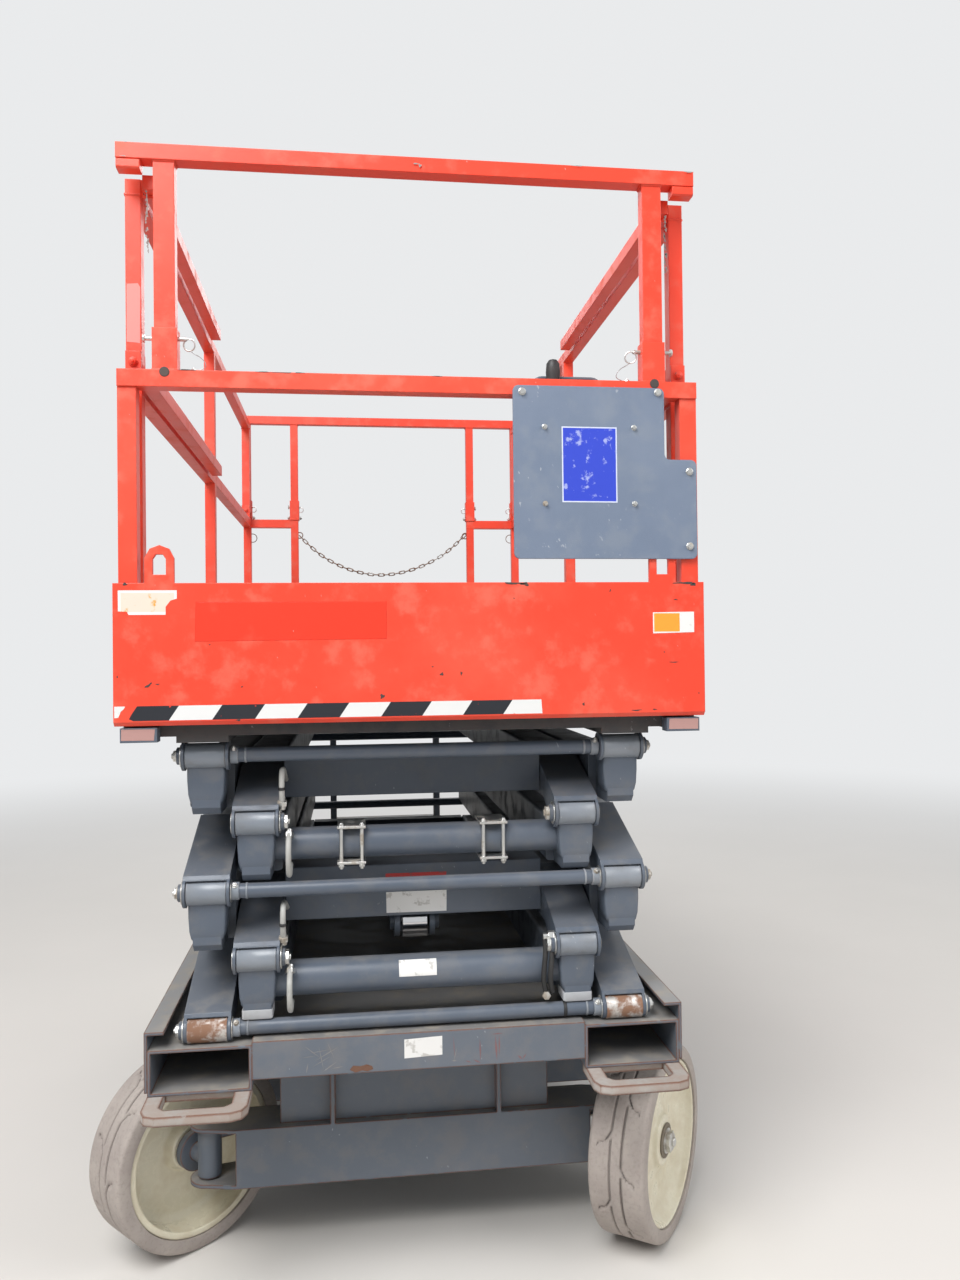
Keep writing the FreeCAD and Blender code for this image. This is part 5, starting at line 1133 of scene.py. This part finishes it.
# inwards from the post, along, up
TETHER = [
    (0.046, -1.120, 1.9175), (0.052, -1.121, 1.912), (0.066, -1.122, 1.905), (0.076, -1.122, 1.893),
    (0.074, -1.120, 1.8835), (0.061, -1.118, 1.8808),
]
for name, side in (("left", -1), ("right", 1)):
    tether = [(side * FRONT_POST - side * inward, y, z) for inward, y, z in TETHER]
    hose(f"front_lock_tether_{name}", "extension", tether, 0.0016, wire_steel)

REAR_Y, REAR_POST, HINGE_X, LOCK_REACH, CLAMP_Z = 1.055, 0.365, 0.556, 0.026, 1.883
rear_locks, eyes = [], []
for side in (-1, 1):
    for x in (REAR_POST, HINGE_X):
        place = (side * x, REAR_Y, 1.928)
        rear_locks.append(pin_through(place, (-side, 0, 0), -LOCK_REACH, LOCK_REACH - 0.002, 0.0042))
        rear_locks.append(torus((side * (x - LOCK_REACH), REAR_Y, 1.917), (0.25, 1, 0.1), 0.0100, 0.0014))
    for x, outward, height in ((0.3445, -1, 0.007), (0.3855, 1, 0.006), (0.5345, -1, 0.007)):
        rear_locks += bolt((side * x, REAR_Y, CLAMP_Z), (outward * side, 0, 0), 0.012, height, 0.0085)
    eyes.append(torus((side * 0.3445, REAR_Y, 1.812), (0, 1, 0), 0.0120, 0.0020))
    eyes.append(torus((side * 0.5360, REAR_Y, 1.800), (0, 1, 0.1), 0.0170, 0.0016))
piece("rear_rail_locks", rear_locks, zinc, "platform")
piece("chain_rings", eyes, bare_steel, "platform")

hinge_bolts = []
for side in (-1, 1):
    for y, toward in ((-1.0838, -1), (-1.0362, 1), (0.9862, -1), (1.0338, 1)):
        hinge_bolts += bolt((side * HINGE_X, y, 1.905), (0, toward, 0), 0.013, 0.006, 0.0095)
piece("rail_hinge_bolts", hinge_bolts, orange, "platform")
faded_label = sheet_finish(
    "worn_post_label", (0.80, 0.76, 0.73), edge=(0.62, 0.07, 0.045), wear=1.0, rough=0.7,
)
label = [(-0.5695, 1.946), (-0.5440, 1.944), (-0.5425, 2.055), (-0.5475, 2.063), (-0.5690, 2.061)]
decal("post_label", label, faded_label, "top_rail_left", -1.075)
BLOCK_FACE = -1.132
block_label = sheet_finish(
    "worn_block_label", (0.60, 0.53, 0.50), edge=(0.35, 0.12, 0.10), wear=1.0, rough=0.8,
)
left = [(-0.573, 1.1625), (-0.512, 1.1620), (-0.510, 1.1835), (-0.5725, 1.1840)]
right = [(0.510, 1.1625), (0.572, 1.1620), (0.573, 1.1835), (0.5115, 1.1840)]
for name, label in (("left", left), ("right", right)):
    decal(f"corner_label_{name}", label, block_label, "platform", BLOCK_FACE)


# Front top rail's ends. A bent rest plate under each end sits over the side rail's corner post, a
# dark disc at the foot of each socket is painted shade standing in for a round drain notch, and the sliding posts
# have rubbed edges.
notch_shade_disc = turned([(0.0095, 0.0), (0.0095, 0.0006)], 28)
rests, notch_shade_discs = [], []
for side in (-1, 1):
    centre = side * 0.552
    rests.append(slab((centre - 0.022, -1.1385, 2.2620), (centre + 0.022, -1.1080, 2.2818), 0.003))
    notch_shade_discs.append(set_at(notch_shade_disc, (side * FRONT_POST, -1.1402, 1.8705), (0, -1, 0)))
piece("top_rail_rests", rests, orange, "top_rail_front")
piece("drain_notch_shade", notch_shade_discs, chipped, "extension")

rubbed_white = sheet_finish("rubbed_primer", (0.72, 0.70, 0.68), edge=(0.10, 0.06, 0.05), wear=0.8, rough=0.7)
random = np.random.default_rng(7)
SLIDE_FACE, RAIL_FACE, RUBS = -1.098, -1.140, 16
for name, x in (("left", -0.5245), ("right", 0.5265)):
    heights = np.linspace(2.118, 2.236, RUBS) + random.uniform(-0.003, 0.003, RUBS)
    spans = ((-0.0022, 0.0022), (0.0012, 0.0028), (0.002, 0.006))
    across, half_x, half_z = (random.uniform(low, high, RUBS) for low, high in spans)
    table = np.column_stack([x + across, heights, half_x, half_z])
    flakes_on(f"rubbed_edge_{name}", table, SLIDE_FACE, rubbed_white, f"slide_rail_{name}")
rail_scuffs = [
    (-0.300, 1.8745, 0.014, 0.0008), (-0.262, 1.8740, 0.020, 0.0007), (-0.230, 1.8745, 0.010, 0.0008),
    (-0.445, 1.8748, 0.016, 0.0012), (0.04, 1.8747, 0.010, 0.0006),
]
flakes_on("mid_rail_scuffs", rail_scuffs, RAIL_FACE, chipped, "extension")
top_scuffs = [
    (0.0020, 2.298, 0.006, 0.0014), (0.010, 2.2945, 0.003, 0.0030), (0.330, 2.3105, 0.012, 0.0008),
    (0.565, 2.3100, 0.009, 0.0012), (-0.560, 2.2835, 0.006, 0.0010),
]
flakes_on("top_rail_scuffs", top_scuffs, RAIL_FACE, rubbed_white, "top_rail_front")


# Welds. Each post is welded to its rail all round; the bead shows as a rippled ridge.
def bead(path, radius=0.0028, pitch=0.004):
    """A weld bead: a small round section carried round a closed path, its radius swelling by
    0.18 sin(2 pi s / pitch) of itself."""
    path = np.asarray(path, float)
    ahead = np.roll(path, -1, 0)
    counts = [max(2, int(step / pitch * 3)) for step in np.linalg.norm(ahead - path, axis=1)]
    line = np.concatenate([np.linspace(*ends, endpoint=False) for ends in zip(path, ahead, counts)])
    run = np.cumsum(np.linalg.norm(np.roll(line, -1, 0) - line, axis=1))
    points, quads, caps = carried(line, round_section(radius, 6), closed=True)
    points = points.reshape(len(line), 6, 3)
    swell = 1 + 0.18 * np.sin(2 * math.pi * run / pitch)[:, None, None]
    points = line[:, None] + (points - line[:, None]) * swell
    return points.reshape(-1, 3), quads, caps


def square_bead(x, y, z, half_x, half_y):
    """The bead round a post's end against a level face."""
    return bead([(x + sx * half_x, y + sy * half_y, z) for sx, sy in ((-1, -1), (1, -1), (1, 1), (-1, 1))])


# piece, body, post's x, y and end, half its width and depth
WELDS = [
    ("welds_top_front", "top_rail_front", FRONT_POST, LOCK_Y, 2.2815, 0.0198, 0.0138),
    ("welds_top_rear", "top_rail_rear", REAR_POST, REAR_Y, 2.2695, 0.0148, 0.0148),
    ("welds_sockets", "extension", FRONT_POST, LOCK_Y, 1.8755, 0.0225, 0.0165),
]
for name, body, x, y, z, half_x, half_y in WELDS:
    beads = [square_bead(side * x, y, z, half_x, half_y) for side in (-1, 1)]
    piece(name, beads, orange, body, angle=60)
for name, side in (("left", -1), ("right", 1)):
    tops = [
        square_bead(side * HINGE_X, y, 2.2395, 0.0148, deep)
        for y, deep in ((-1.050, 0.0240), (1.010, 0.0148))
    ]
    piece(f"welds_top_{name}", tops, orange, f"top_rail_{name}", angle=60)


# Decks. Punched grip studs stand in rows on the roll-out deck and on the fixed deck behind it.
def studs(low_x, high_x, low_y, high_y, top, pitch=0.042, radius=0.0075, height=0.0018):
    """Round studs in staggered rows: a ring on the deck, a smaller one above it, and a flat crown."""
    rows = np.arange(low_y, high_y, pitch * 0.866)
    stud = turned([(radius, -0.0004), (radius * 0.62, height)], 10)
    places = [
        (x, y, top)
        for number, y in enumerate(rows)
        for x in np.arange(low_x + (number % 2) * pitch / 2, high_x, pitch)
    ]
    return [(stud[0] + place, *stud[1:]) for place in places]


roll_deck, fixed_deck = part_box("extension_deck"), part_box("platform_deck")
piece("roll_out_deck_studs", studs(-0.49, 0.49, -1.09, -0.09, roll_deck[1].z), deck_dark_and_shade, "extension")
piece("fixed_deck_studs", studs(-0.53, 0.53, -0.02, 1.02, fixed_deck[1].z), deck_dark_and_shade, "platform")


# Platform controls. The box inside the roll-out rails carries a stick with a rubber boot, a red
# stop knob and three small switches under a bent guard bar. Nothing on it is marked.
box_low, box_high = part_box("control_box")
mid_y, top_z = (box_low.y + box_high.y) / 2, box_high.z
stick_y = mid_y + 0.022  # behind the place where the folded side rail's first post comes to lie
stick_x, knob_x = box_low.x + 0.055, box_high.x - 0.045
boot = [
    (0.028, 0), (0.028, 0.004), (0.022, 0.007), (0.024, 0.011), (0.018, 0.015), (0.019, 0.019),
    (0.012, 0.024), (0.009, 0.026),
]
grip = [
    (0.008, 0.024), (0.010, 0.034), (0.014, 0.050), (0.0155, 0.068), (0.0140, 0.086), (0.0090, 0.094),
    (0.003, 0.096),
]
stick = [set_at(turned(profile, 28), (stick_x, stick_y, top_z), (0, 0, 1)) for profile in (boot, grip)]
piece("control_stick", stick, black_plastic, "extension")
stop_red = enamel(
    "stop_red", (0.55, 0.015, 0.012), (0.6, 0.03, 0.02), (0.3, 0.02, 0.02), (0.4, 0.05, 0.04), wear=0.2,
    rough=0.3,
)
mushroom = [
    (0.012, 0), (0.012, 0.010), (0.019, 0.013), (0.0205, 0.018), (0.0190, 0.023), (0.010, 0.0255),
    (0.002, 0.026),
]
knob = set_at(turned(mushroom, 32), (knob_x, mid_y, top_z), (0, 0, 1))
piece("stop_knob", [knob], stop_red, "extension")
knob_seat = turned([(0.022, 0), (0.022, 0.002), (0.0205, 0.003)], 32)
switch_nut = turned([(0.0095, 0), (0.0095, 0.003), (0.006, 0.0045)], 20, 6, (0, 1))
lever = turned([(0.003, 0.002), (0.0035, 0.014), (0.0050, 0.020), (0.0035, 0.0235)], 16)
collars, switches = [set_at(knob_seat, (knob_x, mid_y, top_z), (0, 0, 1))], []
for step in range(3):
    place = (stick_x + 0.022 + 0.026 * step, box_high.y, top_z - 0.055)
    collars.append(set_at(switch_nut, place, (0, 1, 0)))
    switches.append(set_at(lever, place, (0, 1, 0.35)))
piece("control_collars", collars, zinc, "extension")
piece("control_switches", switches, black_plastic, "extension")
left_foot, right_foot, guard_top = box_low.x + 0.014, box_high.x - 0.014, top_z + 0.062
guard_y, foot_z, corner = box_high.y - 0.018, top_z - 0.002, 0.022
a = np.linspace(0, math.pi / 2, 6)
rise = guard_top - corner + corner * np.sin(a)
arc_left = np.stack([left_foot + corner - corner * np.cos(a), 0 * a + guard_y, rise], 1)
arc_right = arc_left[::-1] * [-1, 1, 1] + (left_foot + right_foot, 0, 0)
hoop = np.concatenate([[(left_foot, guard_y, foot_z)], arc_left, arc_right, [(right_foot, guard_y, foot_z)]])
piece("control_guard", [carried(hoop, round_section(0.0048, 12))], grey, "extension")


# Trays. The outer panel of each swing-out tray is pressed into louvres, five columns of five, that
# let the heat of the batteries and the pump out.
def louvre(x, y, z, half, out):
    """A half-round pressed slot hood: section of a quarter ellipse carried along Y between closed ends."""
    a = np.linspace(0, math.pi / 2, 6)
    section = np.concatenate([np.stack([0.006 * np.sin(a), 0.010 * np.cos(a)], 1), [(0.0, 0.0)]])
    rows = []
    for share in (-1, -0.9, 0.9, 1):
        size = 0.35 if abs(share) == 1 else 1.0
        deep, high = section.T * size
        rows.append(np.stack([x + out * deep, 0 * deep + y + share * half, z + high], 1))
    return lofted(rows)


LOUVRES_Y, LOUVRES_Z, COLUMN_GAP, ROW_GAP = -0.22, 0.275, 0.135, 0.022
for side, label in ((-1, "battery"), (1, "hydraulic")):
    tray = f"{label}_tray"
    low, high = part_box(tray)
    face = high.x if side > 0 else low.x
    cells = [
        (LOUVRES_Y + COLUMN_GAP * column, LOUVRES_Z + ROW_GAP * row)
        for column in range(5) for row in range(5)
    ]
    hoods = [louvre(face - side * 0.0004, y, z, 0.045, side) for y, z in cells]
    piece(f"{label}_louvres", hoods, chassis_grey, tray)


# Closing lines: the bounds of the dressed lift are measured.
low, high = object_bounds()
